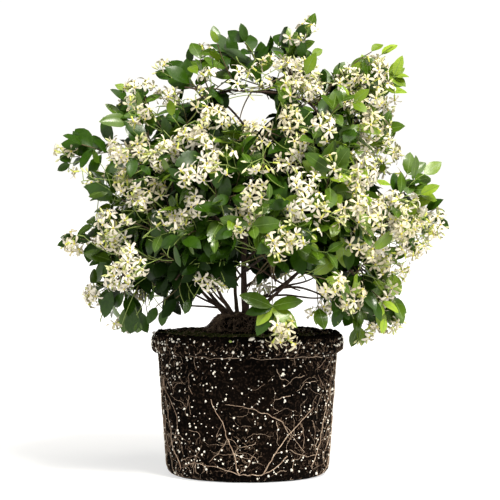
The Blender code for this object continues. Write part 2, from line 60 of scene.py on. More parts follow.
# A unit way square to each way, turned round it by an angle from the level
def sideOf(ways, angles):
    flat = np.where(np.abs(ways[..., 2:]) > 0.95, (1.0, 0.0, 0.0), (0.0, 0.0, 1.0))
    first = unit(np.cross(ways, flat))
    second = np.cross(ways, first)
    angles = np.asarray(angles)[..., None]
    return first * np.cos(angles) + second * np.sin(angles)


# Vectors from three arrays or numbers that are spread to one shape
def vectors(x, y, z):
    return np.stack(np.broadcast_arrays(x, y, z), axis=-1)


# A straight rise by one over a width from a start, held between two ends
def ramp(values, start, width, low=0.0, high=1.0):
    return np.clip((values - start) / width, low, high)


# Smooth noise from -1 to 1: random values at the corners of a lattice, eased between them
def softNoise(points, cell, seed):
    table = np.random.default_rng(seed).uniform(-1.0, 1.0, (48, 48, 48))
    place = points / cell
    low = np.floor(place).astype(int)
    part = place - low
    part = part * part * (3.0 - 2.0 * part)
    total = np.zeros(points.shape[:-1])
    for corner in np.ndindex(2, 2, 2):
        weight = np.prod(np.where(corner, part, 1.0 - part), axis=-1)
        index = (low + corner) % 48
        total += weight * table[index[..., 0], index[..., 1], index[..., 2]]
    return total


# Meshes from arrays

def makePiece(name, points, quads, triangles, material, slot, stands=()):
    points = np.asarray(points, dtype=np.float32).reshape(-1, 3)
    corners = np.concatenate((np.ravel(quads), np.ravel(triangles))).astype(np.int32)
    totals = np.concatenate((np.full(len(quads), 4), np.full(len(triangles), 3)))
    starts = np.concatenate(((0,), np.cumsum(totals)[:-1])).astype(np.int32)
    mesh = bpy.data.meshes.new(name)
    mesh.vertices.add(len(points))
    mesh.vertices.foreach_set("co", points.ravel())
    mesh.loops.add(len(corners))
    mesh.loops.foreach_set("vertex_index", corners)
    mesh.polygons.add(len(totals))
    mesh.polygons.foreach_set("loop_start", starts)
    mesh.polygons.foreach_set("use_smooth", np.full(len(totals), True))
    mesh.update(calc_edges=True)
    mesh.materials.append(material)
    piece = bpy.data.objects.new(name, mesh)
    bpy.context.scene.collection.objects.link(piece)
    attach(piece, "root")
    if stands:
        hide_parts(*stands)
    print(name, 2 * len(quads) + len(triangles), "triangles")


# One shape's faces, again for each of its copies
def repeated(faces, copies, cornersEach):
    faces = np.asarray(faces)
    firsts = (np.arange(copies) * cornersEach)[:, None, None]
    return (faces[None] + firsts).reshape(-1, faces.shape[1])


# Faces of a grid of rows and columns; closed joins the last column to the first
def gridFaces(rows, columns, closed=False):
    across = columns if closed else columns - 1
    row, column = np.meshgrid(np.arange(rows - 1), np.arange(across), indexing="ij")
    after = (column + 1) % columns
    quads = np.stack((row * columns + column, row * columns + after,
                      (row + 1) * columns + after, (row + 1) * columns + column), axis=-1)
    return quads.reshape(-1, 4)


# Faces of rings one after another, closed by a point for the foot and one for the tip after them
def ringFaces(rows, columns):
    around = np.arange(columns)
    after = (around + 1) % columns
    foot, last = rows * columns, (rows - 1) * columns
    caps = np.concatenate((vectors(foot, after, around), vectors(foot + 1, last + around, last + after)))
    return gridFaces(rows, columns, closed=True), caps


# A tube round each path: at each point a ring square to the path, measured from a fixed way that
# the path keeps clear of. The radii are one for all, one for each point of a path, for each point
# of each path, or for each point of each ring; a single point closes each end
def tubes(paths, radii, sides):
    copies, count = paths.shape[:2]
    if np.ndim(radii) < 3:
        radii = np.broadcast_to(radii, (copies, count))[:, :, None]
    radii = np.broadcast_to(radii, (copies, count, sides))
    ways = unit(np.gradient(paths, axis=1))
    clear = np.eye(3)[np.abs(ways.mean(axis=1)).argmin(axis=1)]
    side = unit(np.cross(ways, clear[:, None, :]))
    upper = np.cross(ways, side)
    angle = (np.arange(sides) * tau / sides)[:, None]
    ring = side[:, :, None] * np.cos(angle) + upper[:, :, None] * np.sin(angle)
    walls = (paths[:, :, None] + ring * radii[..., None]).reshape(copies, -1, 3)
    foot = paths[:, :1] - ways[:, :1] * radii[:, :1, :1] * 0.4
    tip = paths[:, -1:] + ways[:, -1:] * radii[:, -1:, :1] * 0.8
    points = np.concatenate((walls, foot, tip), axis=1)
    quads, caps = (repeated(faces, copies, points.shape[1]) for faces in ringFaces(count, sides))
    return points, quads, caps


# Paths that run from start to end, bowed by a vector most at their middle
def spanPaths(starts, ends, count, bow=None):
    t = np.linspace(0.0, 1.0, count)[None, :, None]
    paths = starts[:, None] * (1 - t) + ends[:, None] * t
    return paths if bow is None else paths + bow[:, None] * (4 * t * (1 - t))


# Several lots of points and faces as one
def joined(lots):
    points, quads, triangles, first = [], [], [], 0
    for lotPoints, lotQuads, lotTriangles in lots:
        lotPoints = lotPoints.reshape(-1, 3)
        points.append(lotPoints)
        quads.append(np.asarray(lotQuads).reshape(-1, 4) + first)
        triangles.append(np.asarray(lotTriangles).reshape(-1, 3) + first)
        first += len(lotPoints)
    return np.concatenate(points), np.concatenate(quads), np.concatenate(triangles)


# Materials: a base colour, a softer mottle of a second and a finer one of a third, an uneven gloss
# and a fine relief. What a material does not say is taken from the plain look

plainLook = {"driftScale": 30.0, "fleckScale": 300.0, "fleckShare": 0.4, "fleckCut": (0.35, 0.65),
             "glossScale": 60.0, "relief": 0.3, "reliefDepth": 0.0003, "reliefScale": 500.0,
             "specular": 0.5}


def makeMaterial(name, colour, drift, fleck, **own):
    look = {**plainLook, **own}
    material = bpy.data.materials.new(name)
    material.use_nodes = True
    nodes, links = material.node_tree.nodes, material.node_tree.links
    shader = nodes["Principled BSDF"]
    place = nodes.new("ShaderNodeTexCoord")

    def noise(scale, detail):
        node = nodes.new("ShaderNodeTexNoise")
        node.inputs["Scale"].default_value = scale
        node.inputs["Detail"].default_value = detail
        links.new(place.outputs["Object"], node.inputs["Vector"])
        return node

    def spread(source, low, high, cut=plainLook["fleckCut"]):
        node = nodes.new("ShaderNodeMapRange")
        for socket, value in zip(("From Min", "From Max", "To Min", "To Max"), (*cut, low, high)):
            node.inputs[socket].default_value = value
        links.new(source.outputs["Fac"], node.inputs["Value"])
        return node

    # the first is a colour or another mix
    def mix(first, second, fac):
        node = nodes.new("ShaderNodeMix")
        node.data_type = "RGBA"
        plain = isinstance(first, tuple)
        node.inputs[6].default_value = (*first, 1.0) if plain else (1, 1, 1, 1)
        if not plain:
            links.new(first.outputs[2], node.inputs[6])
        node.inputs[7].default_value = (*second, 1.0)
        links.new(fac.outputs["Result"], node.inputs[0])
        return node

    broad = mix(colour, drift, spread(noise(look["driftScale"], 2.0), 0.0, 1.0))
    flecks = spread(noise(look["fleckScale"], 3.0), 0.0, look["fleckShare"], look["fleckCut"])
    fine = mix(broad, fleck, flecks)
    links.new(fine.outputs[2], shader.inputs["Base Color"])
    gloss = spread(noise(look["glossScale"], 2.0), *look["rough"])
    links.new(gloss.outputs["Result"], shader.inputs["Roughness"])
    bump = nodes.new("ShaderNodeBump")
    bump.inputs["Strength"].default_value = look["relief"]
    bump.inputs["Distance"].default_value = look["reliefDepth"]
    links.new(noise(look["reliefScale"], 4.0).outputs["Fac"], bump.inputs["Height"])
    links.new(bump.outputs["Normal"], shader.inputs["Normal"])
    shader.inputs["Specular IOR Level"].default_value = look["specular"]
    return material


leafLook = {"driftScale": 16.0, "fleckScale": 260.0, "fleckShare": 0.35, "glossScale": 30.0,
            "rough": (0.2, 0.34), "relief": 0.2, "reliefDepth": 0.0006, "reliefScale": 320.0,
            "specular": 0.33}
# from the darkest to the palest: three colours, and what else differs from the leaves' look
leafTints = {
    # painted shade: this darkest tint goes only to leaves deep inside the crown and low down
    "DeepestShade": (((0.0042, 0.013, 0.001), (0.008, 0.025, 0.002), (0.012, 0.032, 0.003)),
                {"specular": 0.09, "rough": (0.32, 0.46)}),
    "Deep": (((0.011, 0.037, 0.0015), (0.024, 0.065, 0.002), (0.036, 0.084, 0.006)), {"specular": 0.23}),
    "Mid": (((0.036, 0.086, 0.004), (0.064, 0.126, 0.006), (0.086, 0.148, 0.011)), {}),
    "Bright": (((0.095, 0.17, 0.006), (0.14, 0.225, 0.01), (0.18, 0.26, 0.02)), {}),
    "Lime": (((0.17, 0.29, 0.012), (0.25, 0.37, 0.025), (0.33, 0.43, 0.06)), {}),
}
leafMaterials = [makeMaterial("leaf" + tint, *colours, **{**leafLook, **own})
                 for tint, (colours, own) in leafTints.items()]
ribMaterial = makeMaterial(
    "leafRib", (0.105, 0.19, 0.035), (0.165, 0.255, 0.055), (0.21, 0.3, 0.09), **leafLook)
petalLook = {"fleckShare": 0.3, "rough": (0.5, 0.66), "relief": 0.2, "reliefDepth": 0.0004,
             "reliefScale": 420.0, "specular": 0.35}
petalMaterials = {
    "Cream": makeMaterial(
        "petalCream", (0.555, 0.495, 0.34), (0.65, 0.595, 0.46), (0.64, 0.6, 0.36), **petalLook),
    "White": makeMaterial(
        "petalWhite", (0.665, 0.61, 0.5), (0.75, 0.705, 0.625), (0.74, 0.69, 0.5), **petalLook)}
eyeMaterial = makeMaterial(
    "blossomEye", (0.56, 0.46, 0.05), (0.6, 0.56, 0.08), (0.42, 0.44, 0.06), rough=(0.55, 0.7),
    driftScale=40.0, fleckScale=500.0, glossScale=80.0, reliefScale=700.0)
tubeMaterial = makeMaterial(
    "blossomTube", (0.52, 0.57, 0.085), (0.61, 0.64, 0.15), (0.36, 0.45, 0.05), rough=(0.45, 0.6),
    fleckScale=400.0, relief=0.15)
stalkMaterial = makeMaterial(
    "stalkGreen", (0.19, 0.27, 0.05), (0.28, 0.36, 0.08), (0.13, 0.18, 0.04), rough=(0.45, 0.62),
    driftScale=22.0, fleckScale=400.0, relief=0.2)
budMaterial = makeMaterial(
    "budPale", (0.64, 0.65, 0.3), (0.52, 0.58, 0.14), (0.8, 0.77, 0.56), rough=(0.45, 0.6),
    driftScale=45.0, fleckScale=350.0, fleckShare=0.5, relief=0.15)
barkMaterial = makeMaterial(
    "barkBrown", (0.019, 0.011, 0.008), (0.052, 0.029, 0.019), (0.12, 0.08, 0.055), rough=(0.7, 0.92),
    driftScale=38.0, fleckScale=620.0, fleckShare=0.45, glossScale=90.0, relief=0.8,
    reliefDepth=0.0012, reliefScale=520.0, specular=0.3)
twigMaterial = makeMaterial(
    "twigBrown", (0.055, 0.034, 0.016), (0.09, 0.075, 0.026), (0.14, 0.1, 0.05), rough=(0.55, 0.78),
    driftScale=26.0, fleckScale=520.0, relief=0.5, reliefDepth=0.0006, reliefScale=520.0, specular=0.35)
print("plant materials made")


# The crown's reach from its centre, the skeleton of stems and boughs, and the masses' own stems

crown = {
    "centre": np.array((0.0, 0.0, 0.39)),
    "depth": 0.265,
    # degrees from +X in the front view, and the reach there
    "outline": np.array((
        (0, 0.292), (6, 0.284), (11, 0.268), (20, 0.242), (30, 0.236), (41, 0.298), (50, 0.298),
        (54, 0.235), (61, 0.208), (66, 0.25), (71, 0.285), (78, 0.252), (83, 0.232), (89, 0.252),
        (98, 0.257), (103, 0.238), (108, 0.254), (114, 0.238), (121, 0.242), (127, 0.23), (135, 0.252),
        (149, 0.232), (157, 0.258), (165, 0.294), (169, 0.276), (175, 0.228), (180, 0.21), (192, 0.282),
        (202, 0.238), (211, 0.28), (224, 0.27), (232, 0.22), (245, 0.17), (270, 0.125), (295, 0.17),
        (305, 0.24), (313, 0.28), (322, 0.286), (330, 0.264), (343, 0.264), (353, 0.297), (360, 0.292))),
    # sprays that hang out of the rounded crown: azimuth, elevation, half angle, extra reach
    "sprays": ((8, -43, 17, 0.085),),
    # ways of the sprays that stand out furthest, as azimuth and elevation, and what ends each
    "tips": ([(90, angle, "leaves")
              for angle in (1, 5, 10, 45, 50, 77, 89, 98, 103, 142, 159, 200, 327, 334)]
             + [(90, angle, "blossom")
                for angle in (22, 34, 40, 71, 108, 121, 134, 165, 192, 211, 224, 312, 321, 345, 353)]
             + [(10, -14, "blossom"), (356, 3, "leaves"), (179, 3, "blossom"), (190, -12, "leaves"),
                (270, 60, "leaves"), (40, 35, "leaves"), (140, 40, "leaves"), (220, 30, "blossom")]),
    # sky that shows through from the front: x, z, half width, half height
    "sky": ((0.006, 0.523, 0.038, 0.022), (-0.042, 0.243, 0.04, 0.025), (0.074, 0.262, 0.034, 0.03)),
    # places where no leaf hides the stem or the arch behind it: x, z, half width, half height, depth
    "bare": ((0.0, 0.292, 0.012, 0.05, -0.01), (0.006, 0.549, 0.034, 0.0065, -0.036)),
    # how uneven the edges of the sky are, and how much of the rim is sky between sprays
    "skyEdge": (0.74, 0.26), "skyCell": 0.009, "rimFrom": 0.7, "rimSky": 0.38, "rimSkyUpper": 0.34,
    "rimCell": 0.015,
    "eye": np.array((0.0036, -3.1, 0.406)), "fill": 0.83, "ragged": 0.12, "raggedCell": 0.3,
}


# The unit way at an azimuth round the plant and an elevation over the level
def azimuthWay(azimuth, elevation):
    around, upward = np.radians(azimuth), np.radians(elevation)
    return vectors(np.sin(around) * np.cos(upward), -np.cos(around) * np.cos(upward), np.sin(upward))


# The front outline, read by its angle and rounded off to the crown's depth, and the hanging sprays
def crownReach(ways):
    side = np.hypot(ways[..., 0], ways[..., 2])
    around = np.degrees(np.arctan2(ways[..., 2], ways[..., 0])) % 360.0
    outline = np.interp(around, crown["outline"][:, 0], crown["outline"][:, 1])
    reach = 1.0 / np.hypot(side / outline, ways[..., 1] / crown["depth"])
    for azimuth, elevation, halfAngle, extra in crown["sprays"]:
        away = np.degrees(np.arccos(np.clip(ways @ azimuthWay(azimuth, elevation), -1.0, 1.0)))
        reach = reach + extra * np.exp(-(away / halfAngle) ** 2)
    return reach


def crownPlace(ways, fraction):
    return crown["centre"] + ways * (crownReach(ways) * fraction)[..., None]


# How far inside the crown's reach points lie, as a share of it from 0 at the centre to 1
def crownShare(points):
    spokes = points - crown["centre"]
    return np.linalg.norm(spokes, axis=-1) / crownReach(unit(spokes))


# Where points show in the front view, on the plane through the crown's middle
def frontView(points):
    eye = crown["eye"]
    scale = eye[1] / (eye[1] - points[..., 1])
    return eye[0] + (points[..., 0] - eye[0]) * scale, eye[2] + (points[..., 2] - eye[2]) * scale


# How far out of an oval's middle points of the front view lie: squared, and 1 on its edge
def ovalOut(x, z, middleX, middleZ, halfWidth, halfHeight):
    return ((x - middleX) / halfWidth) ** 2 + ((z - middleZ) / halfHeight) ** 2


# Points that would hide a patch of sky, whose edge is uneven
def inWindow(points):
    x, z = frontView(points)
    least, more = crown["skyEdge"]
    edge = least + more * softNoise(vectors(x, 0.0, z), crown["skyCell"], 12)
    return np.any([ovalOut(x, z, *oval) < edge for oval in crown["sky"]], axis=0)


# The same with the patches near the edge of the crown, where the sky shows between sprays, most
# at the upper left
def inSky(points):
    x, z = frontView(points)
    z = z - crown["centre"][2]
    rim = np.hypot(x, z) / np.interp(np.degrees(np.arctan2(z, x)) % 360.0, *crown["outline"].T)
    upper = np.clip(z / 0.1 + 0.3, 0.0, 1.0) * np.clip(0.7 - x / 0.12, 0.2, 1.0)
    patches = softNoise(vectors(x, 0.0, z) + 2.0, crown["rimCell"], 13)
    gaps = (patches > crown["rimSky"] - crown["rimSkyUpper"] * upper) & (rim > crown["rimFrom"])
    return inWindow(points) | gaps


# Points in front of a stretch of stem that shows
def hidesStem(points):
    x, z = frontView(points)
    return np.any([(ovalOut(x, z, *oval) < 1.0) & (points[..., 1] < depth)
                   for *oval, depth in crown["bare"]], axis=0)


# How much of the crown's reach ordinary leaves fill, uneven from one side to the next
def fillLimit(points):
    patches = softNoise(unit(points - crown["centre"]), crown["raggedCell"], 8)
    return crown["fill"] + crown["ragged"] * patches


limbPlan = {
    "ground": 0.2283, "mainFoot": np.array((-0.002, 0.0, 0.2283)),
    "mainTop": np.array((0.01, 0.004, 0.475)),
    "mainLeaves": (-0.1, -0.03, 1.0), "mainArrives": (0.12, 0.05, 1.0),
    "mainRadii": (0.0044, 0.0023), "stemRadii": (0.0025, 0.0017), "boughRadii": (0.0024, 0.0017),
    "archRadii": (0.0021, 0.0015), "massStemRadii": (0.002, 0.0012),
    "footRing": 0.019, "footCentre": np.array((-0.01, 0.0, 0.0)), "footSink": 0.008,
    "flare": 0.38, "flareLength": 0.03,
    "sectors": ("front", "front_right", "right", "back_right",
                "back", "back_left", "left", "front_left"),
    "lowBoughs": {"front": 0.285, "right": 0.241, "back_right": 0.263},
    "highBoughs": {"front": 0.352, "right": 0.372, "back": 0.392, "left": 0.334},
    "stemRise": (0.8, 1.2), "lowRise": (0.35, 0.9), "highRise": (0.6, 1.7),
    "lowTurn": 12, "highTurn": 10, "lowElevation": -28, "highElevation": 24,
    "lowTip": 0.5, "highTip": 0.44,
    "archBend": np.array((0.104, -0.03, 0.506)), "archTip": np.array((-0.024, -0.04, 0.551)),
    "archLeaves": (-0.25, -0.1, 1.0), "archArrives": (-1.0, -0.05, 0.15),
    "topCarriers": {"front_right": ("arch", 0.3), "back_right": ("main", 0.93),
                    "back_left": ("main", 1.0), "front_left": ("arch", 1.0), "top": ("arch", 0.62)},
    # tier, elevation, first azimuth, masses
    "tiers": (("low", -30, 12, 8), ("middle", 1, 33, 8), ("high", 30, 10, 8), ("upper", 58, 30, 4),
              ("top", 85, 20, 1)),
    "hub": 0.6, "stemEnd": 0.8, "points": 61,
    # thinner side branches that show low down: limb, share along it, end
    "side": (("low_right", 0.3, (0.098, -0.03, 0.286)), ("low_right", 0.16, (0.118, -0.055, 0.258)),
             ("low_front_right", 0.42, (0.15, -0.085, 0.244)),
             ("low_front", 0.3, (0.074, -0.085, 0.268)),
             ("low_front_left", 0.06, (-0.1, -0.062, 0.25)), ("low_left", 0.1, (-0.092, -0.03, 0.272)),
             ("low_front_left", 0.12, (-0.062, -0.075, 0.285)),
             ("low_back_left", 0.4, (-0.062, 0.06, 0.3)),
             ("main", 0.17, (-0.048, -0.045, 0.33)), ("main", 0.26, (0.055, -0.04, 0.352)),
             ("low_back", 0.42, (0.03, 0.09, 0.31)), ("low_right", 0.55, (0.16, 0.02, 0.33))),
    "sideRadii": (0.0017, 0.001),
}


# A cubic curve that leaves one way and arrives another
def limbPath(start, startWay, end, endWay):
    span = np.linalg.norm(end - start)
    leave, arrive = unit(startWay) * span * 0.4, unit(endWay) * span * 0.35
    controls = np.array((start, start + leave, end - arrive, end))
    t = np.linspace(0.0, 1.0, limbPlan["points"])[:, None]
    weights = np.hstack(((1 - t) ** 3, 3 * (1 - t) ** 2 * t, 3 * (1 - t) * t * t, t ** 3))
    return weights @ controls


# The points at shares of one path, or of several paths with a share each
def pathAt(paths, shares):
    place = np.clip(shares, 0.0, 1.0) * (paths.shape[-2] - 1)
    low = np.minimum(place.astype(int), paths.shape[-2] - 2)
    part = (place - low)[..., None]
    if paths.ndim == 2:
        return paths[low] * (1 - part) + paths[low + 1] * part
    each = np.arange(len(paths))
    return paths[each, low] * (1 - part) + paths[each, low + 1] * part


# The unit way along paths at shares of them
def pathWay(paths, shares):
    after = np.minimum(shares + 0.01, 1.0)
    return unit(pathAt(paths, after) - pathAt(paths, after - 0.02))


# Each limb's path, its radii at the foot and the tip, and how much its foot flares: low boughs and
# stems to every side, high boughs, the arch, and the side branches low down
def planLimbs():
    plan = limbPlan
    upright = np.array((0.0, 0.0, 1.0))
    limbs = {}

    def grow(name, start, startWay, end, endWay, radii, flare=0.0):
        limbs[name] = (limbPath(start, startWay, end, endWay), plan[radii], flare)

    # a limb that leaves and arrives on one azimuth, at two slopes
    def growOut(name, start, azimuth, end, rises, radii, flare=0.0):
        leave, arrive = (azimuthWay(azimuth, 0.0) + upright * rise for rise in rises)
        grow(name, start, leave, end, arrive, radii, flare)

    def mainAt(height):
        share = (height - plan["ground"]) / (plan["mainTop"][2] - plan["ground"])
        return pathAt(limbs["main"][0], share)

    grow("main", plan["mainFoot"], plan["mainLeaves"], plan["mainTop"], plan["mainArrives"],
         "mainRadii", plan["flare"])
    for number, sector in enumerate(plan["sectors"]):
        azimuth = plan["lowTurn"] + number * 45.0
        end = crownPlace(azimuthWay(azimuth, plan["lowElevation"]), plan["lowTip"])
        if sector in plan["lowBoughs"]:
            start = mainAt(plan["lowBoughs"][sector])
            growOut("low_" + sector, start, azimuth, end, plan["lowRise"], "boughRadii")
        else:
            foot = plan["footCentre"] + azimuthWay(azimuth, 0.0) * plan["footRing"]
            foot = foot + upright * plan["ground"]
            growOut("low_" + sector, foot, azimuth, end, plan["stemRise"], "stemRadii", plan["flare"])
    for sector, height in plan["highBoughs"].items():
        azimuth = plan["highTurn"] + plan["sectors"].index(sector) * 45.0
        end = crownPlace(azimuthWay(azimuth, plan["highElevation"]), plan["highTip"])
        if sector == "right":
            end = plan["archBend"]
        growOut("high_" + sector, mainAt(height), azimuth, end, plan["highRise"], "boughRadii")
    grow("arch", plan["archBend"], plan["archLeaves"], plan["archTip"], plan["archArrives"], "archRadii")
    for number, (limb, share, end) in enumerate(plan["side"]):
        path, end = limbs[limb][0], np.array(end)
        start = pathAt(path, share)
        grow("side_" + str(number), start, pathWay(path, share) + unit(end - start),
             end, end - start + upright * 0.02, "sideRadii")
    return limbs


# Each mass: the way it lies from the crown's centre, and its own stem from the limb that carries it
def planMasses(limbs):
    plan = limbPlan
    sectors = plan["sectors"]
    ways, stems = [], []
    for tier, elevation, firstAzimuth, count in plan["tiers"]:
        for number in range(count):
            azimuth = firstAzimuth + 360.0 * number / count
            place = round(azimuth / 45.0) % 8
            if tier == "low":
                limb, share = "low_" + sectors[place], 1.0
            elif tier == "middle":
                limb, share = "low_" + sectors[place - 1], 0.66
            elif tier == "high" and place % 2:
                limb, share = "high_" + sectors[place - 1], 0.5
            elif tier == "high":
                limb, share = "high_" + sectors[place], 0.72 if sectors[place] == "right" else 1.0
            else:
                limb, share = plan["topCarriers"][tier if tier == "top" else sectors[place]]
            path = limbs[limb][0]
            way = azimuthWay(azimuth, elevation)
            start = pathAt(path, share)
            hub = unit(crownPlace(way, plan["hub"]) - start)
            leave = pathWay(path, share) + hub * 1.6
            ways.append(way)
            stems.append(limbPath(start, leave, crownPlace(way, plan["stemEnd"]), hub + way * 0.8))
    return np.array(ways), np.array(stems)


limbs = planLimbs()
massWays, massStems = planMasses(limbs)
print("skeleton planned:", len(limbs), "limbs,", len(massWays), "masses")


# Bark: each limb tapers and flares at its foot, with long ridges and knots raised on it

bark = {
    "sides": 18, "sway": 0.0009, "swayCell": 0.022,
    "ridges": 0.13, "ridgeCell": 0.0042, "knots": 0.1, "knotCell": 0.007,
    "thinSides": 9, "thinRelief": 0.12,
}


# The radius falls evenly along a limb, more where the foot flares; the relief is noise read round
# the limb and drawn out along it
def barkLimbs():
    paths = np.array([path for path, radii, flare in limbs.values()])
    share = np.linspace(0.0, 1.0, limbPlan["points"])
    radii = np.array([ends[0] + (ends[1] - ends[0]) * share for path, ends, flare in limbs.values()])
    lengths = np.linalg.norm(paths[:, -1] - paths[:, 0], axis=1)[:, None]
    flares = np.array([flare for path, ends, flare in limbs.values()])
    radii = radii * (1.0 + flares[:, None] * np.exp(-share * lengths / limbPlan["flareLength"]))
    # feet that stand on the mound reach down into it
    paths[flares > 0.0, 0, 2] -= limbPlan["footSink"]
    sway = softNoise(paths, bark["swayCell"], 3)[..., None] * bark["sway"]
    paths = paths + sway * np.minimum(share * 8, 1)[:, None]
    angle = np.arange(bark["sides"]) * tau / bark["sides"]
    number = np.arange(len(paths))[:, None, None]
    along = share[None, :, None] * lengths[..., None]
    rings = vectors(np.cos(angle) * 0.01 + number, np.sin(angle) * 0.01, along * 0.3)
    relief = (1.0 + bark["ridges"] * softNoise(rings, bark["ridgeCell"], 4)
              + bark["knots"] * softNoise(rings * (1, 1, 4), bark["knotCell"], 5))
    return tubes(paths, radii[:, :, None] * relief, bark["sides"])


# The masses' own stems, thinner and with a plainer relief
def massStemTubes():
    share = np.linspace(0.0, 1.0, limbPlan["points"])
    first, last = limbPlan["massStemRadii"]
    ring = np.arange(bark["thinSides"]) * 0.7 + np.arange(len(massStems))[:, None, None] * 9.0
    spots = vectors(ring, share[None, :, None] * 30.0, 0.0)
    relief = 1.0 + bark["thinRelief"] * softNoise(spots, 1.0, 6)
    return tubes(massStems, (first + (last - first) * share)[:, None] * relief, bark["thinSides"])


stemNodes = [name for name in nodeNames if name.startswith(("main_stem", "stem_", "bough_", "arch_"))]
leafNodes = [name for name in nodeNames if name.startswith("foliage_")]
makePiece("stemsAndBoughs", *joined((barkLimbs(), massStemTubes())), barkMaterial, "bark", stemNodes)


# Root ball: peat pressed to the shape of its nursery pot, with a mound round the stems' feet

ball = {
    "height": 0.206, "footRadius": 0.1175, "neckRadius": 0.129, "collarRadius": 0.138, "collar": 0.031,
    "footRounding": 0.014, "lipRounding": 0.01, "stepHeight": 0.008,
    "dip": 0.003, "dipFrom": 0.06, "dipOver": 0.045,
    "moundCentre": (-0.01, 0.0), "moundRadii": (0.027, 0.052), "moundHeight": 0.022,
    "moundFall": (1.0, 0.86, 0.46, 0.12, 0.0),
    # columns round it and rings on its top; cell and height of each grain, and the grain at the rim
    "around": 480, "topRings": 61, "grain": ((0.016, 0.0012), (0.006, 0.001), (0.0026, 0.0007)),
    "rimGrain": 0.0016, "rimCell": 0.0045, "sunk": 0.0008,
}

peatMaterial = makeMaterial(
    "peatDark", (0.0012, 0.001, 0.0009), (0.0032, 0.0021, 0.0015), (0.058, 0.036, 0.024),
    rough=(0.9, 1.0), driftScale=13.0, fleckShare=0.6, fleckCut=(0.53, 0.8), relief=1.0,
    reliefDepth=0.0024, reliefScale=330.0, specular=0.02)
rootMaterial = makeMaterial(
    "rootTan", (0.29, 0.2, 0.14), (0.56, 0.44, 0.33), (0.15, 0.085, 0.052), rough=(0.65, 0.85),
    driftScale=60.0, fleckShare=0.6, relief=0.4, reliefDepth=0.0005, specular=0.3)
perliteMaterial = makeMaterial(
    "perliteWhite", (0.86, 0.83, 0.76), (0.72, 0.68, 0.59), (0.6, 0.54, 0.43), rough=(0.75, 0.92),
    driftScale=160.0, fleckScale=900.0, relief=0.5, reliefDepth=0.0004, reliefScale=900.0, specular=0.3)
fibreLook = {"rough": (0.75, 0.92), "reliefDepth": 0.0004, "reliefScale": 600.0, "specular": 0.2}
fibreMaterial = makeMaterial(
    "fibreBrown", (0.1, 0.062, 0.04), (0.26, 0.178, 0.118), (0.04, 0.024, 0.015),
    driftScale=60.0, fleckScale=400.0, fleckShare=0.5, **fibreLook)
moundMaterial = makeMaterial(
    "moundFibre", (0.06, 0.037, 0.024), (0.4, 0.29, 0.2), (0.02, 0.012, 0.008),
    driftScale=110.0, fleckShare=0.7, **fibreLook)
mossMaterial = makeMaterial(
    "mossOlive", (0.024, 0.032, 0.006), (0.06, 0.074, 0.014), (0.07, 0.082, 0.022), rough=(0.8, 0.95),
    driftScale=60.0, fleckScale=900.0, fleckShare=0.6, relief=0.8, reliefDepth=0.0008,
    reliefScale=900.0, specular=0.15)
print("root ball materials made")


# The outline from the middle of the underside to the middle of the top: a flat, a rounded foot, the
# wall, the step out to the collar, the collar, its rounded lip and the top
def ballProfile():
    foot, neck, collar = ball["footRadius"], ball["neckRadius"], ball["collarRadius"]
    height, rounding, lip = ball["height"], ball["footRounding"], ball["lipRounding"]
    collarFoot = height - ball["collar"]
    stepTop = ball["stepHeight"]

    def arc(middleRadius, middleHeight, radius, angles):
        return [(middleRadius + radius * math.cos(a), middleHeight + radius * math.sin(a))
                for a in map(math.radians, angles)]

    def line(start, run, count):
        return [(start[0] + run[0] * t, start[1] + run[1] * t) for t in np.linspace(0, 1, count)[1:]]

    return np.array([(r, 0.0) for r in np.linspace(0.004, foot - rounding, 22)[:-1]]
                    + arc(foot - rounding, rounding, rounding, np.linspace(-90, 0, 12))
                    + line((foot, rounding), (neck - foot, collarFoot - rounding), 88)
                    + [(neck + 0.0045, collarFoot + 0.0015), (collar - 0.0012, collarFoot + 0.0045),
                       (collar, collarFoot + stepTop)]
                    + line((collar, collarFoot + stepTop), (0.0, height - lip - collarFoot - stepTop), 9)
                    + arc(collar - lip, height - lip, lip, np.linspace(0, 90, 9)[1:])
                    + [(r, height) for r in np.linspace(collar - lip, 0.003, ball["topRings"] + 1)[1:]])


# How far from the mound's middle
def moundOut(x, y):
    return np.hypot(x - ball["moundCentre"][0], y - ball["moundCentre"][1])


# The top's height, dished towards its rim, with the mound falling from its middle outwards
def topHeight(x, y):
    fall = np.interp(moundOut(x, y), np.linspace(*ball["moundRadii"], 5), ball["moundFall"])
    dish = ball["dip"] * ramp(np.hypot(x, y), ball["dipFrom"], ball["dipOver"])
    return ball["height"] + ball["moundHeight"] * fall - dish


# Points on the top, or a little over or under it
def onTop(x, y, proud=0.0):
    return vectors(x, y, topHeight(x, y) + proud)


# Points that stay above the root ball's top and mound or outside its collar
def clearOfBall(points):
    x, y, z = np.moveaxis(points, -1, 0)
    outside = (np.hypot(x, y) > ball["collarRadius"] + 0.004) | (z > ball["height"] + 0.005)
    offMound = ((moundOut(x, y) > ball["moundRadii"][1])
                | (z > ball["height"] + ball["moundHeight"] + 0.003))
    fits = outside & offMound
    return fits.all(axis=-1) if fits.ndim > 1 else fits


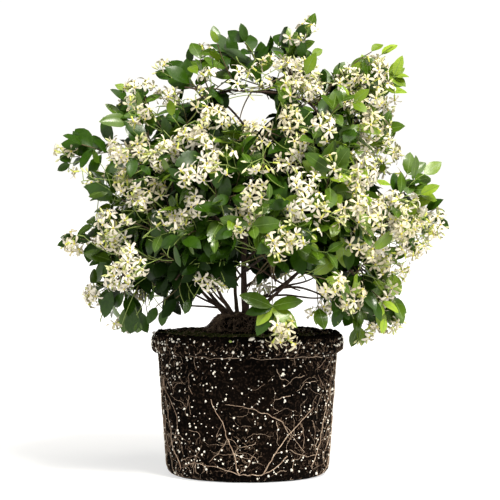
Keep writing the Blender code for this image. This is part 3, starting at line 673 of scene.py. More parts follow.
# The ball: its profile carried round the axis, dished and mounded on top, with lumps and grains
# pushed out along the profile's own normal, most at the rim
def makeBall():
    profile = ballProfile()
    angle = np.arange(ball["around"]) * tau / ball["around"]
    radius, height = profile[:, :1], profile[:, 1:]
    points = vectors(radius * np.sin(angle), -radius * np.cos(angle), height)
    slope = unit(np.gradient(profile, axis=0))
    outward, upward = slope[:, 1:], -slope[:, :1]
    normals = vectors(outward * np.sin(angle), -outward * np.cos(angle), upward)
    relief = sum(softNoise(points + 1.0, cell, 20 + number) * size
                 for number, (cell, size) in enumerate(ball["grain"]))
    rim = ramp(height - ball["height"], -ball["collar"], 0.012) * ramp(radius, 0.09, 0.03)
    relief = relief + rim * softNoise(points + 3.0, ball["rimCell"], 25) * ball["rimGrain"]
    relief = relief * ramp(height, 0.0, 0.01, low=0.15) - ball["sunk"] * ramp(height, 0.0, 0.004)
    points = points + normals * relief[..., None]
    top = points[-ball["topRings"]:]
    top[..., 2] += topHeight(top[..., 0], top[..., 1]) - ball["height"]
    points[..., 2] = np.maximum(points[..., 2], 0.0)
    corners = np.concatenate((points.reshape(-1, 3), points[:1].mean(axis=1), points[-1:].mean(axis=1)))
    faces = ringFaces(*points.shape[:2])
    makePiece("peatBall", corners, *faces, peatMaterial, "root_ball", ("root_ball",))


makeBall()


# The side's radius at each height, rounded at its foot and lip, with the step to the collar
def ballRadius(heights):
    foot, neck, collar = ball["footRadius"], ball["neckRadius"], ball["collarRadius"]
    height, step = ball["height"], ball["height"] - ball["collar"]
    levels = (0.0, 0.004, ball["footRounding"], step, step + 0.006, height - 0.008, height)
    radii = (foot - 0.012, foot - 0.004, foot, neck, collar, collar, collar - 0.007)
    return np.interp(heights, levels, radii)


# Points on the side at an azimuth and a height
def onBall(azimuths, heights, proud=0.0):
    radius = ballRadius(heights) + proud
    around = np.radians(azimuths)
    return vectors(radius * np.sin(around), -radius * np.cos(around), heights)


# Perlite: rounded lumps of twenty faces, squeezed and knocked out of true, half sunk in the peat

perlite = {
    "side": 1300, "collar": 200, "sizes": (0.0005, 0.002), "sizeCurve": (1.7, 3.0), "proud": 0.0002,
    "top": 240, "topSizes": (0.0004, 0.0013), "topCurve": (1.5, 3.5), "topRadius": 0.13,
    "stretch": (0.6, 1.35), "uneven": (0.72, 1.15), "flat": 0.75,
    # a pale chip and a green bead near the front of the rim: place and size
    "chip": ((0.0055, -0.1346, 0.2032), 0.0052), "bead": ((-0.0235, -0.134, 0.2), 0.0032),
}


# The twelve corners of a regular solid of twenty faces, each pushed in or out a little, stretched
# three ways and flattened along the way it faces
def lumps(places, ways, sizes, stretch=(0.6, 1.2)):
    golden = (1.0 + math.sqrt(5.0)) / 2.0
    corners = np.array([(a, b, 0.0) for a in (-1, 1) for b in (-golden, golden)])
    corners = unit(np.concatenate((corners, np.roll(corners, 1, axis=1), np.roll(corners, 2, axis=1))))
    gaps = np.linalg.norm(corners[:, None] - corners[None], axis=-1)
    near = (gaps < 1.2) & (gaps > 0.1)
    faces = []
    for a, b, c in itertools.combinations(range(12), 3):
        if near[a, b] and near[b, c] and near[a, c]:
            across = np.cross(corners[b] - corners[a], corners[c] - corners[a])
            faces.append((a, b, c) if across @ corners[a] > 0 else (a, c, b))
    count = len(places)
    shape = corners * chance.uniform(*perlite["uneven"], (count, 12, 1))
    shape = shape * chance.uniform(*stretch, (count, 1, 3))
    first = sideOf(ways, chance.uniform(0, tau, count))
    axes = np.stack((first, np.cross(ways, first), ways * perlite["flat"]), axis=1)
    points = places[:, None] + np.einsum("nck,nkj->ncj", shape * sizes[:, None, None], axes)
    return points, (), repeated(faces, count, 12)


# Grains on the side and, fewer and smaller, on the top, most of them fine
def makePerlite():
    count = perlite["side"]
    heights = chance.uniform(0.004, ball["height"] - 0.004, count)
    first = perlite["collar"]
    heights[:first] = ball["height"] - chance.uniform(0.003, ball["collar"], first)
    sides = onBall(chance.uniform(0.0, 360.0, count), heights, perlite["proud"])
    small, more = perlite["sizes"]
    sizes = small + more * chance.beta(*perlite["sizeCurve"], count)
    count = perlite["top"]
    radius = np.sqrt(chance.uniform(0.0, 1.0, count)) * perlite["topRadius"]
    angle = chance.uniform(0, tau, count)
    tops = onTop(radius * np.cos(angle), radius * np.sin(angle))
    small, more = perlite["topSizes"]
    topSizes = small + more * chance.beta(*perlite["topCurve"], count)
    ways = np.concatenate((unit(sides * (1, 1, 0)), np.broadcast_to((0.0, 0.0, 1.0), tops.shape)))
    places, sizes = np.concatenate((sides, tops)), np.concatenate((sizes, topSizes))
    makePiece("perlite", *lumps(places, ways, sizes, perlite["stretch"]), perliteMaterial, "root_ball")
    level = np.array(((0.0, -0.6, 0.8),))
    for name, key, stretch, material in (("paleChip", "chip", (0.6, 1.2), perliteMaterial),
                                         ("greenBead", "bead", (0.9, 1.0), stalkMaterial)):
        place, size = perlite[key]
        lump = lumps(np.array((place,)), level, np.array((size,)), stretch)
        makePiece(name, *lump, material, "root_ball")


makePerlite()


# Roots: thin tubes that lie on the ball's side, the ones that show in front by their turning
# points and the rest as seeded wandering walks; fibres are short and finer ones

roots = {
    # turning points across and up in the front view in millimetres, with the thicker end's radius
    "front": ((0.85, ((-50, 117), (-45, 102), (-34, 85), (-28, 63), (-19, 41), (-12, 13))),
              (0.95, ((92, 102), (74, 84), (55, 65), (38, 41), (21, 13))),
              (0.65, ((-30, 110), (-1, 107), (30, 96), (48, 85), (55, 71))),
              (0.7, ((117, 128), (112, 100), (108, 84), (102, 52), (90, 15))),
              (0.8, ((-118, 118), (-113, 98), (-109, 68), (-106, 46), (-93, 16))),
              (0.7, ((-92, 20), (-74, 26), (-45, 23), (-12, 13), (21, 12), (38, 20), (55, 37))),
              (0.5, ((-81, 178), (-55, 175), (-30, 176), (-8, 177))),
              (0.5, ((6, 176), (40, 174), (75, 177), (104, 174))),
              (0.5, ((114, 90), (116, 62), (112, 40))), (0.5, ((37, 116), (48, 121), (59, 122))),
              (0.5, ((-28, 63), (-40, 42), (-52, 30))), (0.5, ((38, 41), (60, 45), (83, 33), (98, 36))),
              (0.5, ((55, 71), (66, 62), (80, 40))), (0.4, ((-12, 13), (2, 26), (6, 38))),
              (0.4, ((74, 84), (80, 66), (78, 48))), (0.4, ((-34, 85), (-42, 70), (-44, 62)))),
    "frontPoints": 26, "shake": 0.0016, "shakeCell": 0.0065, "frontHalf": 62.0,
    # walks over the side: how many, points, step, turning, heights where they start
    "long": (40, 40, 0.0032, 0.22, (0.07, 0.165)), "longRadii": (0.00036, 0.00078), "longTaper": 0.45,
    "fine": (520, 16, 0.0026, 0.35, (0.006, 0.18)), "fineRadii": (0.00019, 0.00039), "fineTaper": 0.4,
    "hairs": (9000, 4, 0.0016, 0.5, (0.004, 0.2)), "hairRadius": 0.00029, "hairSides": 3,
    # how fibrous the peat is: everywhere, in patches, at the sides, at the collar, and less at the left,
    # where fewer pale fibres paint shade on that side
    "fibrous": 0.12, "patches": 0.55, "patchCell": 0.042, "sides": 0.85, "left": 0.55, "collar": 0.5,
    # curled fibres: how many lie on the mound and the top, spread, radius and bow
    "curls": 1500, "curlSpread": 0.125, "curlRadius": 0.00036, "curlBow": 0.0045, "curlLength": 0.005,
}


# Tubes along the side, sunk in it by less than half
def rootTubes(azimuths, heights, radii, sides=5):
    paths = onBall(azimuths, heights)
    paths = paths + unit(paths * (1, 1, 0)) * (radii * 0.6)[..., None]
    return tubes(paths, radii, sides)


# Evenly spaced points along straight stretches, shaken a little to each side
def frontRoots():
    azimuths, heights, radii = [], [], []
    t = np.linspace(0.0, 1.0, roots["frontPoints"])
    for radius, turns in roots["front"]:
        turns = np.array(turns) / 1000.0
        along = np.concatenate(((0.0,), np.cumsum(np.linalg.norm(np.diff(turns, axis=0), axis=1))))
        x = np.interp(t * along[-1], along, turns[:, 0])
        z = np.interp(t * along[-1], along, turns[:, 1])
        shake = softNoise(vectors(x, z, radius), roots["shakeCell"], 31) * roots["shake"]
        z = np.clip(z + shake, 0.003, 1.0)
        x = np.clip(x + shake[::-1], -ballRadius(z) * 0.985, ballRadius(z) * 0.985)
        azimuths.append(np.degrees(np.arcsin(x / ballRadius(z))))
        heights.append(z)
        radii.append(np.linspace(0.5, 0.95, len(t)) * radius / 1000.0)
    return np.array(azimuths), np.array(heights), np.array(radii)


# Walks along the side: the heading drifts by a running sum of small seeded turns
def wander(walk, firstHeading):
    count, steps, step, drift, heights = walk
    heading = firstHeading[:, None] + np.cumsum(chance.normal(0.0, drift, (count, steps)), axis=1)
    azimuths = chance.uniform(0, 360, (count, 1)) + np.cumsum(np.cos(heading) * step, axis=1) / 0.0021
    heights = chance.uniform(*heights, (count, 1)) + np.cumsum(np.sin(heading) * step, axis=1)
    return azimuths, np.clip(heights, 0.003, ball["height"] - 0.006)


# How fibrous the peat is at a place on the side: patches, more at the left, the right and the collar,
# with fewer pale fibres at the left than the right as painted shade
def fibreShare(azimuths, heights):
    across = np.sin(np.radians(azimuths))
    # painted shade: fewer pale fibres on the left side darken it
    sideways = across ** 4 * np.where(across > 0.0, 1.0, roots["left"])
    collar = (heights > ball["height"] - ball["collar"]) * roots["collar"]
    patches = softNoise(onBall(azimuths, heights) + 5.0, roots["patchCell"], 40)
    return roots["fibrous"] + roots["patches"] * patches + roots["sides"] * sideways + collar


# Roots, hairs and curled fibres: each a tube, all of one kind as one piece
def makeRoots():
    # long roots, but not on the front, which has its own
    count, steps = roots["long"][:2]
    azimuths, heights = wander(roots["long"], chance.normal(-1.5, 0.5, count))
    behind = np.abs((azimuths[:, 0] + 180.0) % 360.0 - 180.0) > roots["frontHalf"]
    thick = np.linspace(1.0, roots["longTaper"], steps) * chance.uniform(*roots["longRadii"], (count, 1))
    long = rootTubes(azimuths[behind], heights[behind], thick[behind])
    # fine roots, more of them low down
    count, steps = roots["fine"][:2]
    azimuths, heights = wander(roots["fine"], chance.uniform(0, tau, count))
    thin = np.linspace(1.0, roots["fineTaper"], steps) * chance.uniform(*roots["fineRadii"], (count, 1))
    likely = fibreShare(azimuths[:, 0], heights[:, 0]) + 0.3 - heights[:, 0]
    shown = chance.uniform(size=count) < likely
    fine = rootTubes(azimuths[shown], heights[shown], thin[shown])
    makePiece("surfaceRoots", *joined((rootTubes(*frontRoots()), long, fine)), rootMaterial, "root_ball")
    # short hairs
    count = roots["hairs"][0]
    azimuths, heights = wander(roots["hairs"], chance.uniform(0, tau, count))
    shown = chance.uniform(size=count) < fibreShare(azimuths[:, 0], heights[:, 0])
    hairs = rootTubes(azimuths[shown], heights[shown], np.array(roots["hairRadius"]), roots["hairSides"])
    makePiece("peatFibres", *hairs, fibreMaterial, "root_ball")
    # curled fibres on the mound, and each fourth on the top
    count = roots["curls"]
    radius = np.sqrt(chance.uniform(0.0, 1.0, count)) * roots["curlSpread"]
    angle = chance.uniform(0, tau, count)
    radius = np.where(np.arange(count) % 4 > 0, radius * 0.4, radius)
    x, y = ball["moundCentre"][0] + radius * np.cos(angle), radius * np.sin(angle)
    starts = onTop(x, y, -0.001)
    ends = starts + chance.normal(0.0, roots["curlLength"], (count, 3)) * (1, 1, 0.2)
    ends[:, 2] = topHeight(ends[:, 0], ends[:, 1]) + chance.uniform(0.0, 0.003, count)
    lift = unit(vectors(x - ball["moundCentre"][0], y, 0.02)) * roots["curlBow"]
    curls = tubes(spanPaths(starts, ends, 6, lift), roots["curlRadius"], 4)
    makePiece("moundFibres", *curls, moundMaterial, "root_ball")


makeRoots()


# Moss: low tufts on the top of the ball, thickest towards its front rim

moss = {"tufts": 1300, "middle": -2.1, "spread": 0.8, "ring": (0.07, 0.131),
        "lipFrom": 0.128, "sizes": (0.001, 0.002), "sizeCurve": (2, 3)}


def makeMoss():
    count = moss["tufts"]
    angle = chance.normal(moss["middle"], moss["spread"], count)
    radius = chance.uniform(*moss["ring"], count)
    over = np.clip(radius - moss["lipFrom"], 0, 1)
    places = onTop(radius * np.cos(angle), radius * np.sin(angle), -over * 0.5)
    ways = np.broadcast_to((0.0, 0.0, 1.0), (count, 3))
    small, more = moss["sizes"]
    tufts = lumps(places, ways, small + more * chance.beta(*moss["sizeCurve"], count))
    makePiece("moss", *tufts, mossMaterial, "root_ball")


makeMoss()


# Shoots leave the masses' stems and head for the crown's surface; twigs leave the shoots

growth = {
    "shoots": 12, "shootSpread": 27.0, "shootStart": (0.22, 0.92), "shootShortfall": (0.04, 0.1),
    "tipShortfall": {"leaves": 0.038, "blossom": 0.036, "spray": 0.04}, "sprayShare": 0.3,
    "shootRadii": (0.0011, 0.0007), "shootPoints": 12, "shootBow": 0.07, "shootLift": 0.03,
    "shortestShoot": 0.018,
    "twigShares": (0.34, 0.5, 0.66, 0.82), "twigShift": 0.05, "twigOpening": (35.0, 60.0),
    "twigLength": (0.034, 0.07), "twigOutward": 0.35, "twigRise": 0.2, "twigBow": 0.08,
    "twigRadii": (0.0008, 0.0005), "twigPoints": 8, "twigReach": 0.93, "shortestTwig": 0.012,
    "shortestCarrier": 0.03,
    "acrossSky": 0.04, "standingTwigs": 0.16, "goldenAngle": math.radians(137.5),
    # single shoots: limb, share along it, where it ends, and what ends it
    "single": (("arch", 0.8, (-0.0115, -0.052, 0.506), "bare"),
               ("arch", 0.92, (-0.043, -0.045, 0.617), "leaves"),
               ("arch", 0.7, (-0.004, -0.04, 0.618), "leaves"),
               ("arch", 0.42, (0.066, -0.038, 0.6), "leaves"),
               ("arch", 0.1, (0.176, -0.04, 0.605), "leaves"),
               ("arch", 0.05, (0.2, -0.05, 0.572), "leaves"),
               ("arch", 0.16, (0.146, -0.03, 0.588), "leaves"),
               ("arch", 0.3, (0.084, -0.035, 0.63), "blossom"),
               ("high_left", 0.9, (-0.236, -0.03, 0.474), "leaves"),
               ("low_front_right", 0.95, (0.098, -0.132, 0.246), "leaves"),
               ("low_front_right", 0.98, (0.13, -0.112, 0.25), "leaves"),
               ("low_front_left", 0.8, (-0.1, -0.1, 0.258), "leaves"),
               ("low_front_left", 0.9, (-0.128, -0.095, 0.246), "leaves"),
               ("low_front", 1.0, (0.0335, -0.166, 0.25), "whorl")),
    "leafless": ("whorl", "bare"), "standing": ("leaves", "blossom", "whorl", "bare"),
}


# A golden-angle spiral round each mass's way, where the sprays that stand out take the nearest places
def shootWays():
    number = np.arange(growth["shoots"])
    tilt = np.radians(growth["shootSpread"]) * np.sqrt((number + 0.5) / len(number))
    turn = growth["goldenAngle"] * number
    centre = np.repeat(massWays[:, None], len(number), axis=1)
    ways = unit(centre + sideOf(centre, turn[None]) * np.tan(tilt)[:, None])
    kinds = np.full(ways.shape[:2], "", dtype=object)
    for azimuth, elevation, kind in crown["tips"]:
        tipWay = azimuthWay(azimuth, elevation)
        mass = int(np.argmax(massWays @ tipWay))
        nearest = np.where(kinds[mass] == "", ways[mass] @ tipWay, -2.0).argmax()
        ways[mass, nearest] = tipWay
        kinds[mass, nearest] = kind
    return ways, kinds


# Paths from places along the masses' stems to just inside the crown's surface, and the single
# shoots; ones that are too short or cross the sky are left out
def growShoots():
    ways, kinds = shootWays()
    owner = np.repeat(np.arange(len(ways)), growth["shoots"])
    ways, kinds = ways.reshape(-1, 3), kinds.reshape(-1)
    kinds[(kinds == "") & (chance.uniform(size=len(kinds)) < growth["sprayShare"])] = "spray"
    shortfall = chance.uniform(*growth["shootShortfall"], len(ways))
    for kind, short in growth["tipShortfall"].items():
        shortfall[kinds == kind] = short
    ends = crown["centre"] + ways * (crownReach(ways) - shortfall)[:, None]
    starts = pathAt(massStems[owner], chance.uniform(*growth["shootStart"], len(ways)))
    for limb, share, end, kind in growth["single"]:
        starts = np.vstack((starts, pathAt(limbs[limb][0], share)))
        ends = np.vstack((ends, end))
        kinds = np.append(kinds, kind)
    length = np.linalg.norm(ends - starts, axis=1)
    bow = sideOf(unit(ends - starts), chance.uniform(0, tau, len(starts)))
    bow = bow * (length * growth["shootBow"])[:, None]
    bow[:, 2] += length * growth["shootLift"]
    paths = spanPaths(starts, ends, growth["shootPoints"], bow)
    across = inWindow(paths[:, 4:]).any(axis=1) & (chance.uniform(size=len(paths)) > growth["acrossSky"])
    across |= inSky(paths[:, -3:]).any(axis=1)
    keep = ((length > growth["shortestShoot"]) & ~across) | np.isin(kinds, growth["standing"])
    return paths[keep], kinds[keep], length[keep]


# Paths that leave the shoots at their shares, each a golden angle round from the one before
def growTwigs(shoots, kinds, lengths):
    each, shift = len(growth["twigShares"]), growth["twigShift"]
    owner = np.repeat(np.arange(len(shoots)), each)
    shares = np.tile(growth["twigShares"], len(shoots)) + chance.uniform(-shift, shift, len(owner))
    starts = pathAt(shoots[owner], shares)
    ways = pathWay(shoots[owner], shares)
    turn = np.tile(np.arange(each) * growth["goldenAngle"], len(shoots))
    turn = turn + chance.uniform(0, 0.8, len(owner))
    opening = np.radians(chance.uniform(*growth["twigOpening"], len(owner)))[:, None]
    heading = ways * np.cos(opening) + sideOf(ways, turn) * np.sin(opening)
    outward = unit(starts - crown["centre"])
    heading = unit(heading + outward * growth["twigOutward"] + np.array((0.0, 0.0, growth["twigRise"])))
    size = chance.uniform(*growth["twigLength"], len(owner))
    # a twig that would pass the crown's surface is shortened to end inside it
    over = np.maximum(crownShare(starts + heading * size[:, None]) - growth["twigReach"], 0.0)
    size = size * np.clip(1.0 - over * 4.0, 0.25, 1.0)
    ends = starts + heading * size[:, None]
    bow = sideOf(heading, chance.uniform(0, tau, len(owner))) * (size * growth["twigBow"])[:, None]
    paths = spanPaths(starts, ends, growth["twigPoints"], bow)
    kinds = kinds[owner]
    standing = np.isin(kinds, growth["standing"])
    across = inWindow(paths).any(axis=1) & (chance.uniform(size=len(paths)) > growth["acrossSky"])
    across |= inSky(paths[:, 4:]).any(axis=1) & ~standing
    bushy = ~standing | (chance.uniform(size=len(paths)) < growth["standingTwigs"])
    carried = (lengths[owner] > growth["shortestCarrier"]) & ~np.isin(kinds, growth["leafless"])
    keep = ((size > growth["shortestTwig"]) & (crownShare(ends) < 0.99) & bushy & ~across
            & carried & clearOfBall(paths))
    return paths[keep], kinds[keep], size[keep]


shoots, shootKinds, shootLengths = growShoots()
twigs, twigKinds, twigLengths = growTwigs(shoots, shootKinds, shootLengths)
print(len(shoots), "shoots,", len(twigs), "twigs")


makePiece("shoots", *tubes(shoots, np.linspace(*growth["shootRadii"], growth["shootPoints"]), 6),
          twigMaterial, "bark")
makePiece("twigs", *tubes(twigs, np.linspace(*growth["twigRadii"], growth["twigPoints"]), 5),
          stalkMaterial, "leaves")


# Blossom: loose clusters at the tips of shoots and twigs near the surface. Each is a stalk that
# parts into branches, which part again into short stalks with a narrow tube and five petals

blossom = {
    # where clusters stand: how far apart, how far out, and how likely; fewer below and in the
    # middle of the front, more at the right
    "nearest": 0.0325, "outerShare": 0.71, "chance": 0.73, "chanceBelow": 0.32, "below": -0.35,
    "middle": 0.3, "middleHeight": 0.315, "middleRadius": 0.165, "back": 0.85,
    "rightMore": 0.1, "rightWidth": 0.12, "reach": 0.985, "lowest": 0.188,
    "branches": (3, 5), "flowers": (3, 5), "buds": (2, 5),
    "branchCap": 74.0, "flowerCap": 88.0, "budCap": 60.0,
    "stalk": (0.003, 0.01), "branch": (0.006, 0.019), "stalklet": (0.003, 0.008), "tube": 0.0075,
    "budStalk": (0.004, 0.011), "budLength": (0.007, 0.012),
    "petalLength": 0.0104, "throat": 0.0009, "petalRows": (0.0, 0.3, 0.6, 0.86, 1.0),
    "petalHalf": (0.0008, 0.0011, 0.0018, 0.0021, 0.0012), "swirl": 0.0022,
    "arch": 0.0014, "twist": 0.0009, "hollow": 0.0005, "reflex": 0.0026, "sizes": (0.84, 1.06),
    "petalRoom": 0.007,
    # radii from foot to tip, of the throat, the tube and a bud, and of each sort of stalk
    "eyeRadii": (0.0023, 0.0009), "tubeRadii": (0.0015, 0.0012, 0.0018),
    "budRadii": (0.0006, 0.0012, 0.0017, 0.0012, 0.0002),
    "stalkRadii": {"stalk": 0.0008, "branch": 0.0006, "stalklet": 0.0005, "budStalk": 0.0004},
    "whiteFrom": 0.36,
    # the cluster that hangs in front of the root ball: foot and way, stalk, branches and flowers
    "hanging": ((0.0455, -0.172, 0.238), (0.1, -0.25, -1.0)), "hangingStalk": 0.006,
    "hangingBranches": 5, "hangingFlowers": 3, "hangingStep": 0.0065,
}


# Tips in a seeded order, each kept only where no kept one is nearer than the spacing
def spacedOut(points, spacing, order):
    kept = []
    for index in order:
        if not kept or np.min(np.linalg.norm(points[kept] - points[index], axis=1)) > spacing:
            kept.append(int(index))
    return np.array(kept)


# The tips that carry a cluster and the way each faces, with the hanging cluster last
def chooseClusters():
    tips = np.concatenate((shoots[:, -1], twigs[:, -1]))
    ways = np.concatenate((unit(shoots[:, -1] - shoots[:, -3]), unit(twigs[:, -1] - twigs[:, -3])))
    kinds = np.concatenate((shootKinds, np.full(len(twigs), "", dtype=object)))
    order = np.concatenate((np.flatnonzero(kinds == "blossom"), chance.permutation(len(tips))))
    kept = spacedOut(tips, blossom["nearest"], order)
    tips, ways, kinds = tips[kept], ways[kept], kinds[kept]
    outward = unit(tips - crown["centre"])
    likely = np.where(outward[:, 2] < blossom["below"], blossom["chanceBelow"], blossom["chance"])
    away = ramp(np.hypot(tips[:, 0], tips[:, 2] - blossom["middleHeight"]), 0.0, blossom["middleRadius"])
    front = blossom["middle"] + (1.0 - blossom["middle"]) * away
    likely = likely * np.where(outward[:, 1] < 0.0, front, blossom["back"])
    likely = likely + blossom["rightMore"] * ramp(tips[:, 0], 0.0, blossom["rightWidth"])
    outer = (crownShare(tips) > blossom["outerShare"]) & np.isin(kinds, ("", "spray"))
    wanted = (kinds == "blossom") | (outer & (chance.uniform(size=len(kept)) < likely))
    tips, ways, outward = tips[wanted], ways[wanted], outward[wanted]
    heading = unit(ways * 0.6 + outward * 0.9 + chance.normal(0.0, 0.16, outward.shape))
    place, way = (np.array(item)[None] for item in blossom["hanging"])
    return np.vstack((tips, place)), np.vstack((heading, unit(way)))


# Places round each cluster's way, on a cap by the golden angle: owner and way out
def clusterSpread(headings, counts, cap):
    owner = np.repeat(np.arange(len(headings)), counts)
    number = np.concatenate([np.arange(count) for count in counts])
    total = np.repeat(counts, counts)
    tilt = np.radians(cap) * np.sqrt((number + 0.5) / total) * chance.uniform(0.75, 1.15, len(owner))
    turn = chance.uniform(0, tau, len(headings))[owner] + chance.uniform(-0.4, 0.4, len(owner))
    around = number * growth["goldenAngle"] + turn
    sides = sideOf(headings[owner], around)
    return owner, unit(headings[owner] * np.cos(tilt)[:, None] + sides * np.sin(tilt)[:, None])


# Petals: p runs out from the throat and q across; the half width swells towards the end, the
# middle line bends sideways with p squared, and one edge lifts as the other drops. The petal
# arches up by the sine of p, is hollow along its middle, and its end bends back with p squared
def petalSurface(centres, faces, rolls, sizes):
    p = np.array(blossom["petalRows"])[:, None]
    q = np.array((-1.0, 0.0, 1.0))
    half = np.array(blossom["petalHalf"])[:, None]
    reach = blossom["throat"] + blossom["petalLength"] * p + 0.0 * q
    across = half * q + blossom["swirl"] * p ** 2
    lift = (blossom["arch"] * np.sin(np.pi * p * 0.8) + blossom["twist"] * np.sin(np.pi * p) * q
            - blossom["hollow"] * (1.0 - q * q) * p)
    copies = len(centres)
    lift = lift - chance.uniform(-0.3, 2.0, (copies, 5, 1, 1)) * blossom["reflex"] * p ** 2
    angle = rolls[:, None] + np.arange(5) * tau / 5 + chance.uniform(-0.13, 0.13, (copies, 5))
    outward = sideOf(np.repeat(faces[:, None], 5, axis=1), angle)[:, :, None, None]
    normal = faces[:, None, None, None]
    sideways = np.cross(normal, outward)
    size = sizes[:, None, None, None, None]
    petal = outward * reach[..., None] + sideways * across[..., None] + normal * lift[..., None]
    return centres[:, None, None, None] + size * petal


# Each cluster's stalk parts into branches and they into flowers and buds, on caps round the way of
# what carries them; flowers and buds that would pass the crown's surface, show in the sky or touch
# the ball are left out, and so are flowers that would hide the bare stem
def growBlossom():
    tips, headings = chooseClusters()
    last = len(tips) - 1
    stalk = chance.uniform(*blossom["stalk"], len(tips))
    stalk[last] = blossom["hangingStalk"]
    stalkEnds = tips + headings * stalk[:, None]
    counts = chance.integers(*blossom["branches"], len(tips))
    counts[last] = blossom["hangingBranches"]
    cluster, branchWays = clusterSpread(headings, counts, blossom["branchCap"])
    branchWays = unit(branchWays + chance.normal(0.0, 0.15, branchWays.shape))
    lengths = chance.uniform(*blossom["branch"], len(cluster))[:, None]
    branchEnds = stalkEnds[cluster] + branchWays * lengths
    # the hanging cluster's branches end in a row that zigzags down
    hanging = cluster == last
    step, down = np.arange(counts[last]), blossom["hangingStep"]
    zigzag = vectors(down * (-1.0) ** step, -0.004 - 0.001 * step, -down * step)
    branchEnds[hanging] = stalkEnds[last] + zigzag
    flowers = chance.integers(*blossom["flowers"], len(cluster))
    flowers[hanging] = blossom["hangingFlowers"]
    owner, ways = clusterSpread(branchWays, flowers, blossom["flowerCap"])
    necks = branchEnds[owner] + ways * chance.uniform(*blossom["stalklet"], len(owner))[:, None]
    faces = unit(ways + headings[cluster[owner]] * 0.25 + chance.normal(0.0, 0.22, ways.shape))
    centres = necks + unit(ways + faces) * blossom["tube"]
    petals = blossom["petalRoom"] * np.array(((0, 0, 0), (1, 0, 0), (-1, 0, 0), (0, 0, 1), (0, 0, -1)))
    hides = hidesStem(centres[:, None] + petals).any(axis=1)
    fit = (crownShare(centres) < blossom["reach"]) & ~inSky(centres) & ~hides
    fit |= (cluster[owner] == last) & (centres[:, 2] > blossom["lowest"])
    fit &= clearOfBall(centres + faces * 0.004)
    owner, necks, faces, centres = (item[fit] for item in (owner, necks, faces, centres))
    buds = chance.integers(*blossom["buds"], len(cluster))
    budOwner, budWays = clusterSpread(branchWays, buds, blossom["budCap"])
    lengths = chance.uniform(*blossom["budStalk"], len(budOwner))[:, None]
    budNecks = branchEnds[budOwner] + budWays * lengths
    fit = (crownShare(budNecks) < blossom["reach"]) & ~inSky(budNecks) & clearOfBall(budNecks)
    budOwner, budNecks, budWays = budOwner[fit], budNecks[fit], budWays[fit]
    used = np.isin(np.arange(len(branchEnds)), np.concatenate((owner, budOwner)))
    return {"faces": faces, "centres": centres, "necks": necks, "budNecks": budNecks, "budWays": budWays,
            "cluster": cluster[owner], "stalk": (tips, stalkEnds),
            "branch": (stalkEnds[cluster][used], branchEnds[used]),
            "stalklet": (branchEnds[owner], necks), "budStalk": (branchEnds[budOwner], budNecks)}


bloom = growBlossom()
clusters = len(bloom["stalk"][0])
print(clusters, "clusters,", len(bloom["centres"]), "flowers,", len(bloom["budNecks"]), "buds")


def makeBlossom():
    centres, faces = bloom["centres"], bloom["faces"]
    copies = len(centres)
    sizes = chance.uniform(*blossom["sizes"], copies)
    surface = petalSurface(centres, faces, chance.uniform(0, tau, copies), sizes)
    quads = gridFaces(len(blossom["petalRows"]), 3)[:, ::-1]
    tint = chance.uniform(size=clusters)[bloom["cluster"]] + chance.uniform(-0.25, 0.25, copies)
    white = tint >= blossom["whiteFrom"]
    for name, chosen in (("Cream", ~white), ("White", white)):
        points = surface[chosen]
        makePiece("petals" + name, points, repeated(quads, 5 * len(points), surface.shape[2] * 3), (),
                  petalMaterials[name], "blossom")
    # throats: a short yellow cone at the middle of each flower
    throats = spanPaths(centres - faces * 0.0004, centres + faces * 0.0013, 2)
    makePiece("blossomEyes", *tubes(throats, blossom["eyeRadii"], 5), eyeMaterial, "blossom")
    # tubes narrow away from the flower, and buds swell and come to a point
    necks = spanPaths(bloom["necks"], centres, 3)
    makePiece("blossomTubes", *tubes(necks, blossom["tubeRadii"], 5), tubeMaterial, "blossom")
    starts = bloom["budNecks"]
    ends = starts + bloom["budWays"] * chance.uniform(*blossom["budLength"], len(starts))[:, None]
    makePiece("buds", *tubes(spanPaths(starts, ends, 5), blossom["budRadii"], 5), budMaterial, "blossom")
    stalks = [tubes(spanPaths(*bloom[sort], 3), blossom["stalkRadii"][sort], sides)
              for sort, sides in (("stalk", 5), ("branch", 4), ("stalklet", 3), ("budStalk", 3))]
    makePiece("blossomStalks", *joined(stalks), stalkMaterial, "blossom")


makeBlossom()


# Leaves: opposite pairs at nodes counted back from each tip, a quarter turn on at each node

